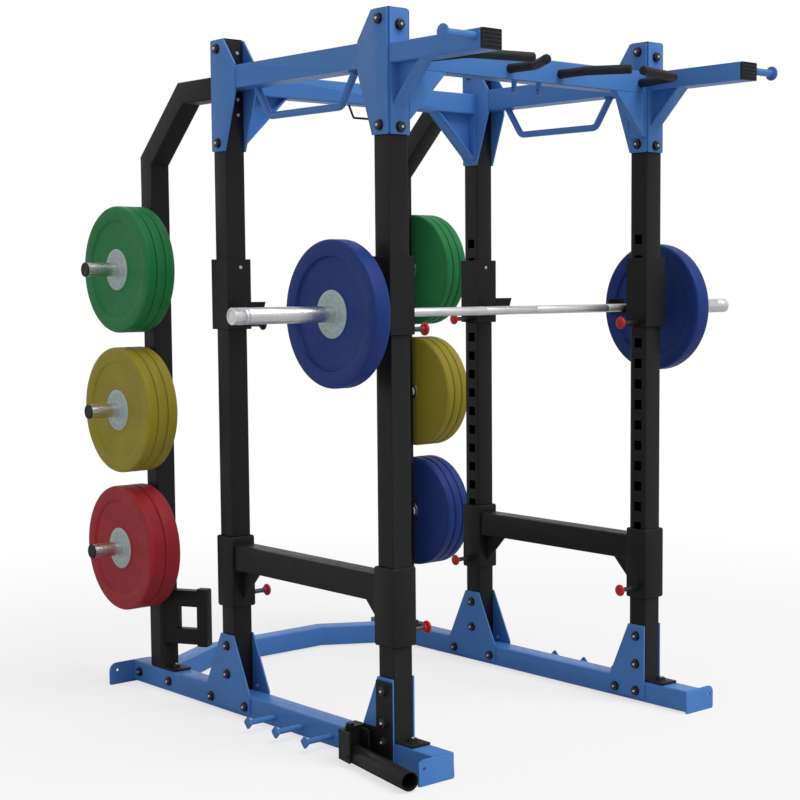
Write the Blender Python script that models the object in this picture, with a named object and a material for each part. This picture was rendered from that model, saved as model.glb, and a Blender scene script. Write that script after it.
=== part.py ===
# Power rack with a loaded barbell, spotter beams, plate storage and a landmine.
# Metres, +Z up. X runs along the barbell, -Y is the front, the origin is on the floor
# under the middle of the rack. Left is -X and right is +X.

import math

import bmesh
import bpy
from mathutils import Matrix, Vector

# Steel sections and clearances
TUBE = 0.075  # outer width of the square frame tube
WALL = 0.003  # wall of the square frame tube
PLATE = 0.006  # thickness of brackets, gussets and flanges
GAP = 0.0003  # clearance between pieces that touch
LAP = 0.001  # how far one welded piece runs into the next

# Plan of the rack
HALF_SPAN = 0.5715  # middle of the rack to the middle of an upright
ROW_GAP = 0.870  # front uprights to rear uprights
STORAGE_GAP = 0.481  # rear uprights to storage uprights
ARM_REACH = 0.453  # front uprights to the tip of the front arms
RAIL_FRONT_REACH = 0.225  # front uprights to the front end of the base rails
RAIL_BACK_REACH = 0.162  # storage uprights to the back end of the base rails

# Heights
RAIL_LIFT = 0.006  # underside of the base rails above the floor
UPRIGHT_TOP = 2.310
SIDE_BEAM_DOWN = 0.167  # top of the uprights to the underside of the side beams
REAR_BEAM_DOWN = 0.179  # and of the rear cross beam
PULL_UP_DOWN = 0.174  # and of the pull-up beam
CAP = 0.003  # plastic cap on top of each upright

# Adjustment holes in the uprights
HOLE = 0.033  # square hole
HOLE_PITCH = 0.072
SPOTTER_HOLE_Z = 0.415  # the hole that the spotter beam's pin is at
HOLE_COUNT = 18
HOOK_PITCHES = 13  # holes from the spotter pin up to the hook pin

# Base
FRONT_EAR = 0.066  # how far the front end plates reach past the rail
BACK_EAR = 0.100
EAR_ROUND = 0.022
BACK_EAR_ROUND = 0.030
EAR_HOLE_R = 0.006
EAR_HOLE_OUT = 0.68  # share of the ear's reach
EAR_HOLE_UP = 0.65  # share of the rail's height
DRAIN_R = 0.006
GUSSET_TOP = 0.280
GUSSET_SHOULDER = 0.090
GUSSET_LOW = 0.020
GUSSET_REACH = 0.130  # rear gussets, each way from the upright's middle
FRONT_GUSSET_REACH = 0.124  # front gussets, backwards only
GUSSET_BOLT_OUT = 0.80  # share of the reach, out to the low bolts
GUSSET_BOLT_TOP = 0.040  # top of the gusset down to the first bolt
GUSSET_BOLT_PITCH = 0.100
FOOT_PLATE = 0.008
FOOT_REACH = 0.085
CROSS_HALF = 0.270  # half of the straight run of the rear cross member
CROSS_BACK = 0.175  # storage uprights to the middle of that run
CROSS_SIDE = 0.016  # storage uprights to where it meets the rails
BAND_PEG_FROM_REAR = (0.273, 0.430, 0.590)  # rear uprights to each band peg
BAND_PEG_Z = 0.040
BAND_PEG_R = 0.010
BAND_PEG_LENGTH = 0.111
BAND_PEG_END = 0.0225  # half diagonal of its end plate

# Bolts
BOLT_R = 0.0135  # across the corners of the hexagon, halved
BOLT_HEAD = 0.009

# Top of the frame
BRACKET_HEIGHT = 0.372
BRACKET_BULGE = 0.067
BULGE_LOW_DOWN = 0.182  # top of the upright to the bulge's lower corner
BULGE_TOP_DOWN = 0.088  # and to its upper corner
BRACKET_BOLT_TOP = 0.030  # bolt below the top of the upright
BRACKET_BOLT_LOW = 0.028  # bolt above the low edge of the bracket
REAR_KNEE_REACH = 0.183  # gusset under the rear cross beam, along the beam
REAR_KNEE_DROP = 0.171
REAR_KNEE_FLANGE = 0.060
LOOP_TOP = 0.055  # loop under the rear cross beam, half of its width at the top
LOOP_LOW = 0.034  # and at the bottom
LOOP_DROP = 0.045
LOOP_ROUND = 0.008
LOOP_R = 0.004
FRONT_KNEE = 0.150  # gusset under the pull-up beam, each way
FRONT_KNEE_FLANGE = 0.025
HOOP_R = 0.012
HOOP_TOP_IN = 0.135  # upright's inner face to the top of each leg
HOOP_BOTTOM_IN = 0.205
HOOP_DROP = 0.101
HOOP_ROUND = 0.030
HOOP_PAD_R = 0.021
HOOP_PAD = 0.004

# Front arms and pull-up grips
ARM_HEIGHT = 0.059
ARM_DOWN = 0.163  # top of the uprights to the underside of the arms
ARM_CAP = 0.012
ARM_KNEE = 0.124  # gusset under the arm, each way
ARM_KNEE_FLANGE = 0.050
ARM_BOLT_TOP = 0.048  # bolt in the face plate below the top of the upright
ARM_BOLT_LOW = 0.022  # bolt above the low edge of the face plate
ARM_PEG_FROM_TIP = 0.033
ARM_PEG_R = 0.012
ARM_PEG_RISE = 0.007  # middle of the arm up to the peg
ARM_PEG_LENGTH = 0.121
ARM_PEG_END_R = 0.0235
GRIP_R = 0.015
GRIP_ROUND = 0.035
# Root, bend and tip of each grip: share of the half span, and forward of the uprights
OUTER_GRIP = ((0.880, 0.0), (0.807, 0.228), (0.425, 0.281))
INNER_GRIP = ((0.198, 0.0), (0.198, 0.157), (0.3325, 0.282))
GRIP_Z = 0.033  # above the underside of the pull-up beam
EYE_X = (-0.060, 0.050)
EYE_SIZE = 0.036
EYE_DEPTH = 0.016
EYE_THICK = 0.008
EYE_HOLE_R = 0.005

# Sliding pieces
SLIDE_CLEAR = 0.0005  # sleeve to upright
SPOTTER_SLEEVE = 0.093
SPOTTER_SLEEVE_LOW = 0.378
SPOTTER_SLEEVE_TOP = 0.624
SPOTTER_BEAM_LOW = 0.510
SPOTTER_BEAM_TOP = 0.597
SPOTTER_KNEE = 0.106
HOOK_SLEEVE = 0.096
HOOK_SLEEVE_LOW = 1.337
HOOK_SLEEVE_TOP = 1.575
HOOK_FLOOR = 0.012
HOOK_LIP_Z = 1.431
HOOK_LIP = 0.009
HOOK_LIP_FOOT = 0.128  # upright's middle to the outer face of the lip, at its foot
HOOK_LIP_TIP = 0.148  # and at its tip
PIN_R = 0.008
PIN_CLEAR = 0.0005
PIN_BUSH_R = 0.013
PIN_BUSH = 0.020
PIN_TIP = 0.002  # chamfer of its tip
PIN_KNOB_R = 0.0205
PIN_KNOB_FRONT = 0.016  # middle of the knob to its front
PIN_KNOB_BACK = 0.012  # and to its back
PIN_KNOB_ROUND = 0.85  # share of its radius at its shoulders
PIN_TRAVEL = 0.012  # how far the pin goes into the upright's hole
PIN_KNOB_IN = 0.085  # upright's inner face to the middle of the knob

# Barbell
BAR_Z = 1.401
BAR_BEHIND = 0.083  # front uprights to the bar
BAR_R = 0.014
BAR_HALF = 1.100
BAR_SHOULDER_OUT = 0.046  # upright's outer face to the sleeve's shoulder
BAR_FLANGE_R = 0.036
BAR_FLANGE = 0.014
BAR_SLEEVE_R = 0.025
BAR_END_WALL = 0.012

# Weight plates
PLATE_RADIUS = 0.225
PLATE_BORE_CLEAR = 0.0005
BAR_PLATE_OUT = 0.035  # sleeve's shoulder to the plate
BAR_PLATE_THICK = 0.060
PLATE_RIM = 0.030  # width of the raised rim
PLATE_DISH = 0.008  # depth of the face inside the rim
PLATE_CHAMFER = 0.005
STACK_OUT = 0.023  # upright's outer face to the first stored plate
STACK_THICK = (0.109, 0.118, 0.120)  # top, middle and low
STACK_GROOVE = 0.006

# Storage
STORAGE_TOP_DOWN = 0.1565  # top of the uprights to the middle of the level run
STORAGE_BEND_DROP = 0.221  # level run down to the lower bend
STORAGE_BEND_Y = 0.2445  # rear uprights to the upper bend
PEG_HEIGHTS = (1.543, 1.041, 0.541)
PEG_R = 0.025
PEG_WALL = 0.003
PEG_LENGTH = 0.255  # beyond the upright's outer face
PEG_COLLAR_R = 0.038
PEG_COLLAR = 0.008
HOLDER_TUBE = 0.042
HOLDER_ANGLE = 30.0  # degrees inwards from straight ahead
HOLDER_REACH = 0.163  # storage upright's face to the far side of the post
HOLDER_LOW = 0.175
HOLDER_TOP = 0.374
HOLDER_WINDOW_LOW = 0.232
HOLDER_WINDOW_TOP = 0.314
HOLDER_POST_OVER = 0.007  # how far the post stands past the bars, up and down

# Landmine
LANDMINE_R = 0.030
LANDMINE_BORE_R = 0.0255
LANDMINE_Z = 0.035
LANDMINE_ANGLE = 10.0  # degrees outwards from straight ahead
LANDMINE_REACH = 0.372  # swivel pin to the open end of the tube
SWIVEL_OUT = 0.0925  # middle of the upright to the swivel pin, sideways
SWIVEL_BACK = 0.114  # middle of the upright to the swivel pin, backwards
SWIVEL_PIN_R = 0.006
YOKE_LOW = 0.016
YOKE_TOP = 0.112
YOKE_WEB = 0.020
YOKE_CHEEK = 0.006
YOKE_CLEAR = 0.0005
YOKE_PIN_FORWARD = 0.048
YOKE_CHEEK_END = 0.062
YOKE_PIN_R = 0.006
MINE_BAR_LOW = 0.059
MINE_BAR_TOP = 0.270
MINE_PLATE_TOP = 0.119
MINE_EAR = 0.006
MINE_EAR_R = 0.016  # round end of each ear
MINE_PLATE_BACK = 0.036  # swivel pin to the back edge of the plate
MINE_BOLTS = (0.240, 0.140, 0.080)
YOKE_PIN_END = 0.004  # how far the yoke's pins stand out
TUBE_BEHIND_PIN = 0.012  # yoke's pins to the closed end of the tube

# Places worked out from the sizes above
FRONT_TIP = ROW_GAP + ARM_REACH
BACK_TIP = STORAGE_GAP + PLATE_RADIUS
REAR_Y = (FRONT_TIP - BACK_TIP) / 2
FRONT_Y = REAR_Y - ROW_GAP
STORAGE_Y = REAR_Y + STORAGE_GAP
HALF = TUBE / 2
INNER_X = HALF_SPAN - HALF
OUTER_X = HALF_SPAN + HALF
RAIL_TOP = RAIL_LIFT + TUBE
SIDE_BEAM_Z = UPRIGHT_TOP - SIDE_BEAM_DOWN
REAR_BEAM_Z = UPRIGHT_TOP - REAR_BEAM_DOWN
PULL_UP_Z = UPRIGHT_TOP - PULL_UP_DOWN
ARM_Z = UPRIGHT_TOP - ARM_DOWN
BRACKET_LOW = UPRIGHT_TOP - BRACKET_HEIGHT
BRACKET_BULGE_LOW = UPRIGHT_TOP - BULGE_LOW_DOWN
BRACKET_BULGE_TOP = UPRIGHT_TOP - BULGE_TOP_DOWN
STORAGE_TOP_Z = UPRIGHT_TOP - STORAGE_TOP_DOWN
STORAGE_BEND_Z = STORAGE_TOP_Z - STORAGE_BEND_DROP
STACK_INNER = OUTER_X + STACK_OUT
PEG_END = OUTER_X + PEG_LENGTH
BAR_SHOULDER = OUTER_X + BAR_SHOULDER_OUT
BAR_PLATE_INNER = BAR_SHOULDER + BAR_PLATE_OUT
PIN_KNOB_X = INNER_X - PIN_KNOB_IN
HOOK_HOLE_Z = SPOTTER_HOLE_Z + HOOK_PITCHES * HOLE_PITCH
BRACKET_INNER_X = INNER_X - GAP - PLATE
BAR_Y = FRONT_Y + BAR_BEHIND
SIDES = (("left", -1), ("right", 1))
ROWS = (("front", FRONT_Y, 1), ("rear", REAR_Y, -1))

X_AXIS = Vector((1, 0, 0))
Y_AXIS = Vector((0, 1, 0))
Z_AXIS = Vector((0, 0, 1))


def clear_scene():
    for old in list(bpy.data.objects):
        bpy.data.objects.remove(old, do_unlink=True)


# Shapes

def mesh_object(name, bm):
    """A new object from a bmesh, with its faces pointing out."""
    bmesh.ops.recalc_face_normals(bm, faces=bm.faces)
    mesh = bpy.data.meshes.new(name)
    bm.to_mesh(mesh)
    bm.free()
    obj = bpy.data.objects.new(name, mesh)
    bpy.context.collection.objects.link(obj)
    return obj


def place(axis, along, u, v):
    """The point that lies along an axis, with u and v on the other two in X, Y, Z order."""
    if axis == "X":
        return Vector((along, u, v))
    if axis == "Y":
        return Vector((u, along, v))
    return Vector((u, v, along))


def prism(name, outline, axis, start, end):
    """A flat outline, drawn across an axis, made solid from start to end."""
    bm = bmesh.new()
    face = bm.faces.new([bm.verts.new(place(axis, start, u, v)) for u, v in outline])
    grown = bmesh.ops.extrude_face_region(bm, geom=[face])
    moved = [item for item in grown["geom"] if isinstance(item, bmesh.types.BMVert)]
    bmesh.ops.translate(bm, verts=moved, vec=place(axis, end - start, 0, 0))
    return mesh_object(name, bm)


def block(name, x, y, z):
    """A box between two values on each axis."""
    outline = [(x[0], y[0]), (x[1], y[0]), (x[1], y[1]), (x[0], y[1])]
    return prism(name, outline, "Z", z[0], z[1])


def square(width, height=None):
    """The corners of a rectangle round the origin."""
    a = width / 2
    b = (height or width) / 2
    return [(-a, -b), (a, -b), (a, b), (-a, b)]


def circle(radius, sides, turn=0.0):
    """The corners of a regular polygon round the origin."""
    step = 2 * math.pi / sides
    return [(radius * math.cos(turn + step * k), radius * math.sin(turn + step * k)) for k in range(sides)]


def arc(centre, radius, start, end, steps):
    """Points on an arc, with angles in degrees."""
    angles = [math.radians(start + (end - start) * k / steps) for k in range(steps + 1)]
    return [(centre[0] + radius * math.cos(a), centre[1] + radius * math.sin(a)) for a in angles]


def rounded_path(points, radius, steps):
    """A path whose inner corners are arcs of one radius."""
    points = [Vector(p) for p in points]
    path = [points[0]]
    for before, corner, after in zip(points, points[1:], points[2:]):
        back = (before - corner).normalized()
        on = (after - corner).normalized()
        half = back.angle(on) / 2
        centre = corner + (back + on).normalized() * radius / math.sin(half)
        reach = radius / math.tan(half)
        spoke = corner + back * reach - centre
        turn = math.pi - 2 * half
        axis = spoke.cross(corner + on * reach - centre).normalized()
        path += [centre + Matrix.Rotation(turn * k / steps, 3, axis) @ spoke for k in range(steps + 1)]
    return path + [points[-1]]


def sweep(name, path, section, normal, bore=None, start_cut=None, end_cut=None):
    """A section swept along a flat path with mitred corners. bore is the section of its hollow.

    normal is square to the path's plane. A cut is the direction, in that plane, of an end face.
    """
    points = [Vector(p) for p in path]
    normal = Vector(normal)
    runs = [(b - a).normalized() for a, b in zip(points, points[1:])]
    bm = bmesh.new()
    outer = []
    inner = []
    for i, point in enumerate(points):
        before = runs[max(i - 1, 0)].cross(normal)
        after = runs[min(i, len(runs) - 1)].cross(normal)
        side = (before + after).normalized()
        if i == 0 and start_cut:
            side = Vector(start_cut)
        if i == len(points) - 1 and end_cut:
            side = Vector(end_cut)
        side = side / side.dot(before)
        outer.append([bm.verts.new(point + side * a + normal * b) for a, b in section])
        if bore:
            inner.append([bm.verts.new(point + side * a + normal * b) for a, b in bore])
    for rings in (outer, inner):
        for one, two in zip(rings, rings[1:]):
            bridge(bm, one, two)
    for end in (0, -1):
        if bore:
            bridge(bm, outer[end], inner[end])
        else:
            bm.faces.new(outer[end])
    return mesh_object(name, bm)


def bridge(bm, one, two):
    """Four-sided faces between two rings with the same number of corners."""
    count = len(one)
    for k in range(count):
        bm.faces.new((one[k], one[(k + 1) % count], two[(k + 1) % count], two[k]))


def square_tube(name, path, normal, **cuts):
    """The frame's hollow square tube along a path."""
    return sweep(name, path, square(TUBE), normal, bore=square(TUBE - 2 * WALL), **cuts)


def rod(name, start, end, radius, sides=12, bore=0.0):
    """A round bar, or a round tube if it has a bore."""
    start = Vector(start)
    end = Vector(end)
    run = (end - start).normalized()
    normal = run.orthogonal().normalized()
    hollow = circle(bore, sides) if bore else None
    return sweep(name, [start, end], circle(radius, sides), normal, bore=hollow)


def turned(name, profile, centre, sides, bored=False):
    """A profile of (x, radius) points turned about the line along X through centre (y, z).

    A bored profile is a closed loop. Any other has flat ends at its first and last points.
    """
    bm = bmesh.new()
    rings = []
    for x, radius in profile:
        corners = circle(radius, sides)
        rings.append([bm.verts.new((x, centre[0] + u, centre[1] + v)) for u, v in corners])
    for one, two in zip(rings, rings[1:]):
        bridge(bm, one, two)
    if bored:
        bridge(bm, rings[-1], rings[0])
    else:
        bm.faces.new(rings[0])
        bm.faces.new(rings[-1])
    return mesh_object(name, bm)


def combine(operation, base, others):
    """Joins the other solids to the base, or cuts them from it, and removes them."""
    for other in others:
        step = base.modifiers.new(operation.lower(), "BOOLEAN")
        step.operation = operation
        step.solver = "EXACT"
        step.object = other
    bpy.context.view_layer.update()
    graph = bpy.context.evaluated_depsgraph_get()
    mesh = bpy.data.meshes.new_from_object(base.evaluated_get(graph))
    base.modifiers.clear()
    base.data = mesh
    for other in others:
        bpy.data.objects.remove(other, do_unlink=True)
    return base


def weld(base, *others):
    return combine("UNION", base, others)


def cut(base, *others):
    return combine("DIFFERENCE", base, others)


def move_origin(obj, point):
    """Puts the object's origin on its joint's axis and leaves its shape where it is."""
    point = Vector(point)
    obj.data.transform(Matrix.Translation(-point))
    obj.location = point
    return obj


def hexagon_bolt(x, out, y, z):
    """A hexagon head that stands out of a plate's outer face, along X."""
    head = circle(BOLT_R, 6)
    return prism("bolt", [(y + u, z + v) for u, v in head], "X", x - out * LAP, x + out * BOLT_HEAD)


def face_bolt(x, y, out, z):
    """A hexagon head that stands out of a plate's outer face, along Y."""
    head = circle(BOLT_R, 6)
    return prism("bolt", [(x + u, z + v) for u, v in head], "Y", y - out * LAP, y + out * BOLT_HEAD)


# Materials

def paint(obj, slot):
    """One material for each finish, with its colour, roughness and metallic value."""
    finishes = {
        "blue_paint": ((0.085, 0.205, 0.520), 0.38, 0.0),
        "black_paint": ((0.022, 0.024, 0.024), 0.45, 0.0),
        "steel": ((0.62, 0.62, 0.62), 0.25, 1.0),
        "red_knob": ((0.50, 0.02, 0.025), 0.35, 0.0),
        "grip_rubber": ((0.018, 0.017, 0.016), 0.70, 0.0),
        "green_rubber": ((0.005, 0.19, 0.06), 0.55, 0.0),
        "yellow_rubber": ((0.50, 0.42, 0.02), 0.55, 0.0),
        "red_rubber": ((0.50, 0.012, 0.03), 0.55, 0.0),
        "blue_rubber": ((0.012, 0.03, 0.32), 0.55, 0.0),
    }
    colour, roughness, metallic = finishes[slot]
    material = bpy.data.materials.get(slot)
    if material is None:
        material = bpy.data.materials.new(slot)
        material.use_nodes = True
        shader = material.node_tree.nodes["Principled BSDF"]
        shader.inputs["Base Color"].default_value = (*colour, 1.0)
        shader.inputs["Roughness"].default_value = roughness
        shader.inputs["Metallic"].default_value = metallic
    obj.data.materials.clear()
    obj.data.materials.append(material)
    obj.data.shade_smooth()
    obj.data.set_sharp_from_angle(angle=math.radians(35))
    return obj


# Base

def end_plate(sign, y, out, ear, rounding):
    """The plate across one end of a base rail. Its ear has a rounded top corner and a hole."""
    inner = sign * INNER_X
    outer = sign * (OUTER_X + ear)
    centre = (outer - sign * rounding, RAIL_TOP - rounding)
    angles = (0, 90) if sign > 0 else (180, 90)
    outline = [(inner, 0.0), (outer, 0.0)]
    outline += arc(centre, rounding, angles[0], angles[1], 4)
    outline.append((inner, RAIL_TOP))
    plate = prism("end_plate", outline, "Y", y - out * LAP, y + out * PLATE)
    hole_x = sign * (OUTER_X + ear * EAR_HOLE_OUT)
    hole_z = RAIL_TOP * EAR_HOLE_UP
    hole = rod("hole", (hole_x, y - out * PLATE, hole_z), (hole_x, y + out * 2 * PLATE, hole_z), EAR_HOLE_R, 8)
    return cut(plate, hole)


def band_peg(sign, y):
    """A short rod out of the rail, with a square plate on its end set cornerwise."""
    start = sign * (OUTER_X - LAP)
    end = sign * (OUTER_X + BAND_PEG_LENGTH)
    shaft = rod("shaft", (start, y, BAND_PEG_Z), (end, y, BAND_PEG_Z), BAND_PEG_R, 8)
    diamond = [(y + u, BAND_PEG_Z + v) for u, v in circle(BAND_PEG_END, 4)]
    return weld(shaft, prism("end", diamond, "X", end - sign * PLATE, end))


def base_rail(side, sign):
    """A rail on the floor along one side, with its end plates and band pegs welded on."""
    x = sign * HALF_SPAN
    z = RAIL_LIFT + HALF
    front = FRONT_Y - RAIL_FRONT_REACH
    back = STORAGE_Y + RAIL_BACK_REACH
    rail = square_tube("base_rail_" + side, [(x, front, z), (x, back, z)], Z_AXIS)
    parts = [
        end_plate(sign, front, -1, FRONT_EAR, EAR_ROUND),
        end_plate(sign, back, 1, BACK_EAR, BACK_EAR_ROUND),
    ]
    parts += [band_peg(sign, REAR_Y - reach) for reach in BAND_PEG_FROM_REAR]
    weld(rail, *parts)
    drain = rod("drain", (x, REAR_Y, RAIL_LIFT - PLATE), (x, REAR_Y, RAIL_LIFT + PLATE), DRAIN_R, 8)
    return paint(cut(rail, drain), "blue_paint")


def rear_cross_member():
    """The tube on the floor that joins the rails at the back and bows out behind."""
    z = RAIL_LIFT + HALF
    reach = INNER_X - GAP
    path = [
        (-reach, STORAGE_Y + CROSS_SIDE, z),
        (-CROSS_HALF, STORAGE_Y + CROSS_BACK, z),
        (CROSS_HALF, STORAGE_Y + CROSS_BACK, z),
        (reach, STORAGE_Y + CROSS_SIDE, z),
    ]
    tube = square_tube("rear_cross_member", path, Z_AXIS, start_cut=-Y_AXIS, end_cut=-Y_AXIS)
    return paint(tube, "blue_paint")


def base_gusset(row, y, side, sign, outer):
    """A flat plate bolted to the upright and the rail, on the outer or the inner face."""
    if row == "rear":
        outline = [
            (-HALF, GUSSET_TOP),
            (-GUSSET_REACH, GUSSET_SHOULDER),
            (-GUSSET_REACH, GUSSET_LOW),
            (GUSSET_REACH, GUSSET_LOW),
            (GUSSET_REACH, GUSSET_SHOULDER),
            (HALF, GUSSET_TOP),
        ]
        low_bolts = (-GUSSET_BOLT_OUT * GUSSET_REACH, GUSSET_BOLT_OUT * GUSSET_REACH)
    else:
        outline = [
            (-HALF, GUSSET_TOP),
            (-HALF, GUSSET_LOW),
            (FRONT_GUSSET_REACH, GUSSET_LOW),
            (FRONT_GUSSET_REACH, GUSSET_SHOULDER),
            (HALF, GUSSET_TOP),
        ]
        low_bolts = (0.0, GUSSET_BOLT_OUT * FRONT_GUSSET_REACH)
    out = sign if outer else -sign
    face = sign * (OUTER_X + GAP) if outer else sign * (INNER_X - GAP)
    far = face + out * PLATE
    name = "base_gusset_{}_{}_{}".format(row, side, "outer" if outer else "inner")
    plate = prism(name, [(y + u, v) for u, v in outline], "X", face, far)
    first = GUSSET_TOP - GUSSET_BOLT_TOP
    places = [(0.0, first), (0.0, first - GUSSET_BOLT_PITCH)]
    places += [(reach, RAIL_LIFT + HALF) for reach in low_bolts]
    if row == "front" and side == "left" and outer:
        places = []
    weld(plate, *[hexagon_bolt(far, out, y + u, v) for u, v in places])
    return paint(plate, "blue_paint")


# Uprights

def hole_cutter(sign, y):
    """Square holes through the inner wall of an upright, as one cutter."""
    bm = bmesh.new()
    middle = sign * (INNER_X + WALL / 2)
    for k in range(HOLE_COUNT):
        at = Vector((middle, y, SPOTTER_HOLE_Z + k * HOLE_PITCH))
        shape = Matrix.Translation(at) @ Matrix.Diagonal((3 * WALL, HOLE, HOLE, 1))
        bmesh.ops.create_cube(bm, size=1.0, matrix=shape)
    return mesh_object("holes", bm)


def foot_plate(sign, y):
    """The flange under an upright, which reaches forward along the rail."""
    x = (sign * INNER_X, sign * OUTER_X)
    bottom = RAIL_TOP + GAP
    plate = block("foot", x, (y - HALF - FOOT_REACH, y + HALF), (bottom, bottom + FOOT_PLATE))
    head = circle(BOLT_R, 6)
    middle = (sign * HALF_SPAN, y - HALF - FOOT_REACH / 2)
    outline = [(middle[0] + u, middle[1] + v) for u, v in head]
    top = bottom + FOOT_PLATE
    return weld(plate, prism("bolt", outline, "Z", top - LAP, top + BOLT_HEAD))


def upright(row, y, side, sign):
    """A hollow column with square holes up its inner face and a cap on top."""
    x = sign * HALF_SPAN
    start = RAIL_TOP + GAP
    if row == "front":
        start += FOOT_PLATE - LAP
    column = square_tube("upright_{}_{}".format(row, side), [(x, y, start), (x, y, UPRIGHT_TOP)], X_AXIS)
    across = TUBE - 2 * LAP
    cap = block(
        "cap",
        (x - across / 2, x + across / 2),
        (y - across / 2, y + across / 2),
        (UPRIGHT_TOP - LAP, UPRIGHT_TOP + CAP),
    )
    weld(column, cap)
    if row == "front":
        weld(column, foot_plate(sign, y))
    return paint(cut(column, hole_cutter(sign, y)), "black_paint")


# Plate storage

def storage_peg(sign, z):
    """A tube that weight plates slide onto, with the collar that they stop at."""
    start = sign * (OUTER_X - LAP)
    tube = rod("peg", (start, STORAGE_Y, z), (sign * PEG_END, STORAGE_Y, z), PEG_R, 12, PEG_R - PEG_WALL)
    stop = sign * (STACK_INNER - GAP)
    back = stop - sign * PEG_COLLAR
    bore = PEG_R - PEG_WALL / 2
    collar = [(back, bore), (back, PEG_COLLAR_R), (stop, PEG_COLLAR_R), (stop, bore)]
    return weld(tube, turned("collar", collar, (STORAGE_Y, z), 12, bored=True))


def storage_upright(side, sign):
    """The bent column behind the rack, with its foot and three pegs."""
    x = sign * HALF_SPAN
    foot = RAIL_TOP + GAP + FOOT_PLATE - LAP
    path = [
        (x, STORAGE_Y, foot),
        (x, STORAGE_Y, STORAGE_BEND_Z),
        (x, REAR_Y + STORAGE_BEND_Y, STORAGE_TOP_Z),
        (x, REAR_Y + HALF + GAP, STORAGE_TOP_Z),
    ]
    column = square_tube("storage_upright_" + side, path, X_AXIS)
    weld(column, foot_plate(sign, STORAGE_Y), *[storage_peg(sign, z) for z in PEG_HEIGHTS])
    return paint(column, "black_paint")


def bar_holder():
    """The bracket on the left storage upright: two bars with a post at each end, turned inwards."""
    half = HOLDER_TUBE / 2
    face = Vector((-HALF_SPAN, STORAGE_Y - HALF - GAP, 0.0))
    across = (-half, half)
    low, high = HOLDER_LOW - HOLDER_POST_OVER, HOLDER_TOP + HOLDER_POST_OVER
    holder = block("bar_holder", across, (-HOLDER_REACH, HOLDER_TUBE - HOLDER_REACH), (low, high))
    run = (half - HOLDER_REACH, HOLDER_TUBE)
    lower = block("lower", across, run, (HOLDER_LOW, HOLDER_WINDOW_LOW))
    upper = block("upper", across, run, (HOLDER_WINDOW_TOP, HOLDER_TOP))
    root = block("root", across, (-HOLDER_TUBE, HOLDER_TUBE), (HOLDER_LOW + LAP, HOLDER_TOP - LAP))
    weld(holder, lower, upper, root)
    holder.data.transform(Matrix.Translation(face) @ Matrix.Rotation(math.radians(HOLDER_ANGLE), 4, "Z"))
    behind = block("behind", (-HALF_SPAN - TUBE, -HALF_SPAN + TUBE), (face.y, face.y + TUBE), (0.0, HOLDER_TOP + TUBE))
    return paint(cut(holder, behind), "black_paint")


# Weight plates

def plate_face(x, out, bore, dish):
    """Half of a plate's profile, from its rim in to its bore. out points away from its middle."""
    return [
        (x - out * PLATE_CHAMFER, PLATE_RADIUS),
        (x, PLATE_RADIUS - PLATE_CHAMFER),
        (x, PLATE_RADIUS - PLATE_RIM),
        (x - out * dish, PLATE_RADIUS - PLATE_RIM - dish),
        (x - out * dish, bore),
    ]


def bar_plate(side, sign):
    """The weight plate on one end of the barbell."""
    bore = BAR_SLEEVE_R + PLATE_BORE_CLEAR
    inner = sign * BAR_PLATE_INNER
    outer = sign * (BAR_PLATE_INNER + BAR_PLATE_THICK)
    profile = plate_face(outer, sign, bore, PLATE_DISH) + plate_face(inner, -sign, bore, PLATE_DISH)[::-1]
    plate = turned("bar_plate_" + side, profile, (BAR_Y, BAR_Z), 32, bored=True)
    return paint(plate, "blue_rubber")


def plate_stack(side, sign, level, count, slot):
    """The plates on one storage peg, side by side, with a groove where two of them meet."""
    bore = PEG_R + PLATE_BORE_CLEAR
    outer = sign * (STACK_INNER + STACK_THICK[level])
    inner = sign * STACK_INNER
    profile = plate_face(outer, sign, bore, PLATE_DISH)[::-1]
    each = STACK_THICK[level] / count
    for k in range(count - 1, 0, -1):
        joint = sign * (STACK_INNER + each * k)
        profile += [
            (joint + sign * STACK_GROOVE, PLATE_RADIUS),
            (joint, PLATE_RADIUS - STACK_GROOVE),
            (joint - sign * STACK_GROOVE, PLATE_RADIUS),
        ]
    profile += [
        (inner + sign * PLATE_CHAMFER, PLATE_RADIUS),
        (inner, PLATE_RADIUS - PLATE_CHAMFER),
        (inner, bore),
    ]
    height = PEG_HEIGHTS[level]
    name = "stored_plates_{}_{}".format(side, ("top", "middle", "low")[level])
    stack = turned(name, profile, (STORAGE_Y, height), 24, bored=True)
    return move_origin(paint(stack, slot), (inner, STORAGE_Y, height))


# Barbell

def bar_shaft():
    """The barbell's shaft, which runs on inside both sleeves."""
    reach = BAR_HALF - BAR_END_WALL - 2 * LAP
    shaft = rod("bar_shaft", (-reach, BAR_Y, BAR_Z), (reach, BAR_Y, BAR_Z), BAR_R, 16)
    return move_origin(paint(shaft, "steel"), (0.0, BAR_Y, BAR_Z))


def bar_sleeve(side, sign):
    """The barbell's rotating sleeve, closed at its outer end, with a flange that plates stop at."""
    bore = BAR_R + GAP
    profile = [
        (sign * (BAR_HALF - BAR_END_WALL), bore),
        (sign * BAR_SHOULDER, bore),
        (sign * BAR_SHOULDER, BAR_FLANGE_R),
        (sign * (BAR_SHOULDER + BAR_FLANGE), BAR_FLANGE_R),
        (sign * (BAR_SHOULDER + BAR_FLANGE), BAR_SLEEVE_R),
        (sign * BAR_HALF, BAR_SLEEVE_R),
    ]
    sleeve = turned("bar_sleeve_" + side, profile, (BAR_Y, BAR_Z), 16)
    return move_origin(paint(sleeve, "steel"), (sign * BAR_SHOULDER, BAR_Y, BAR_Z))


# Hooks and spotter beams

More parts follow.
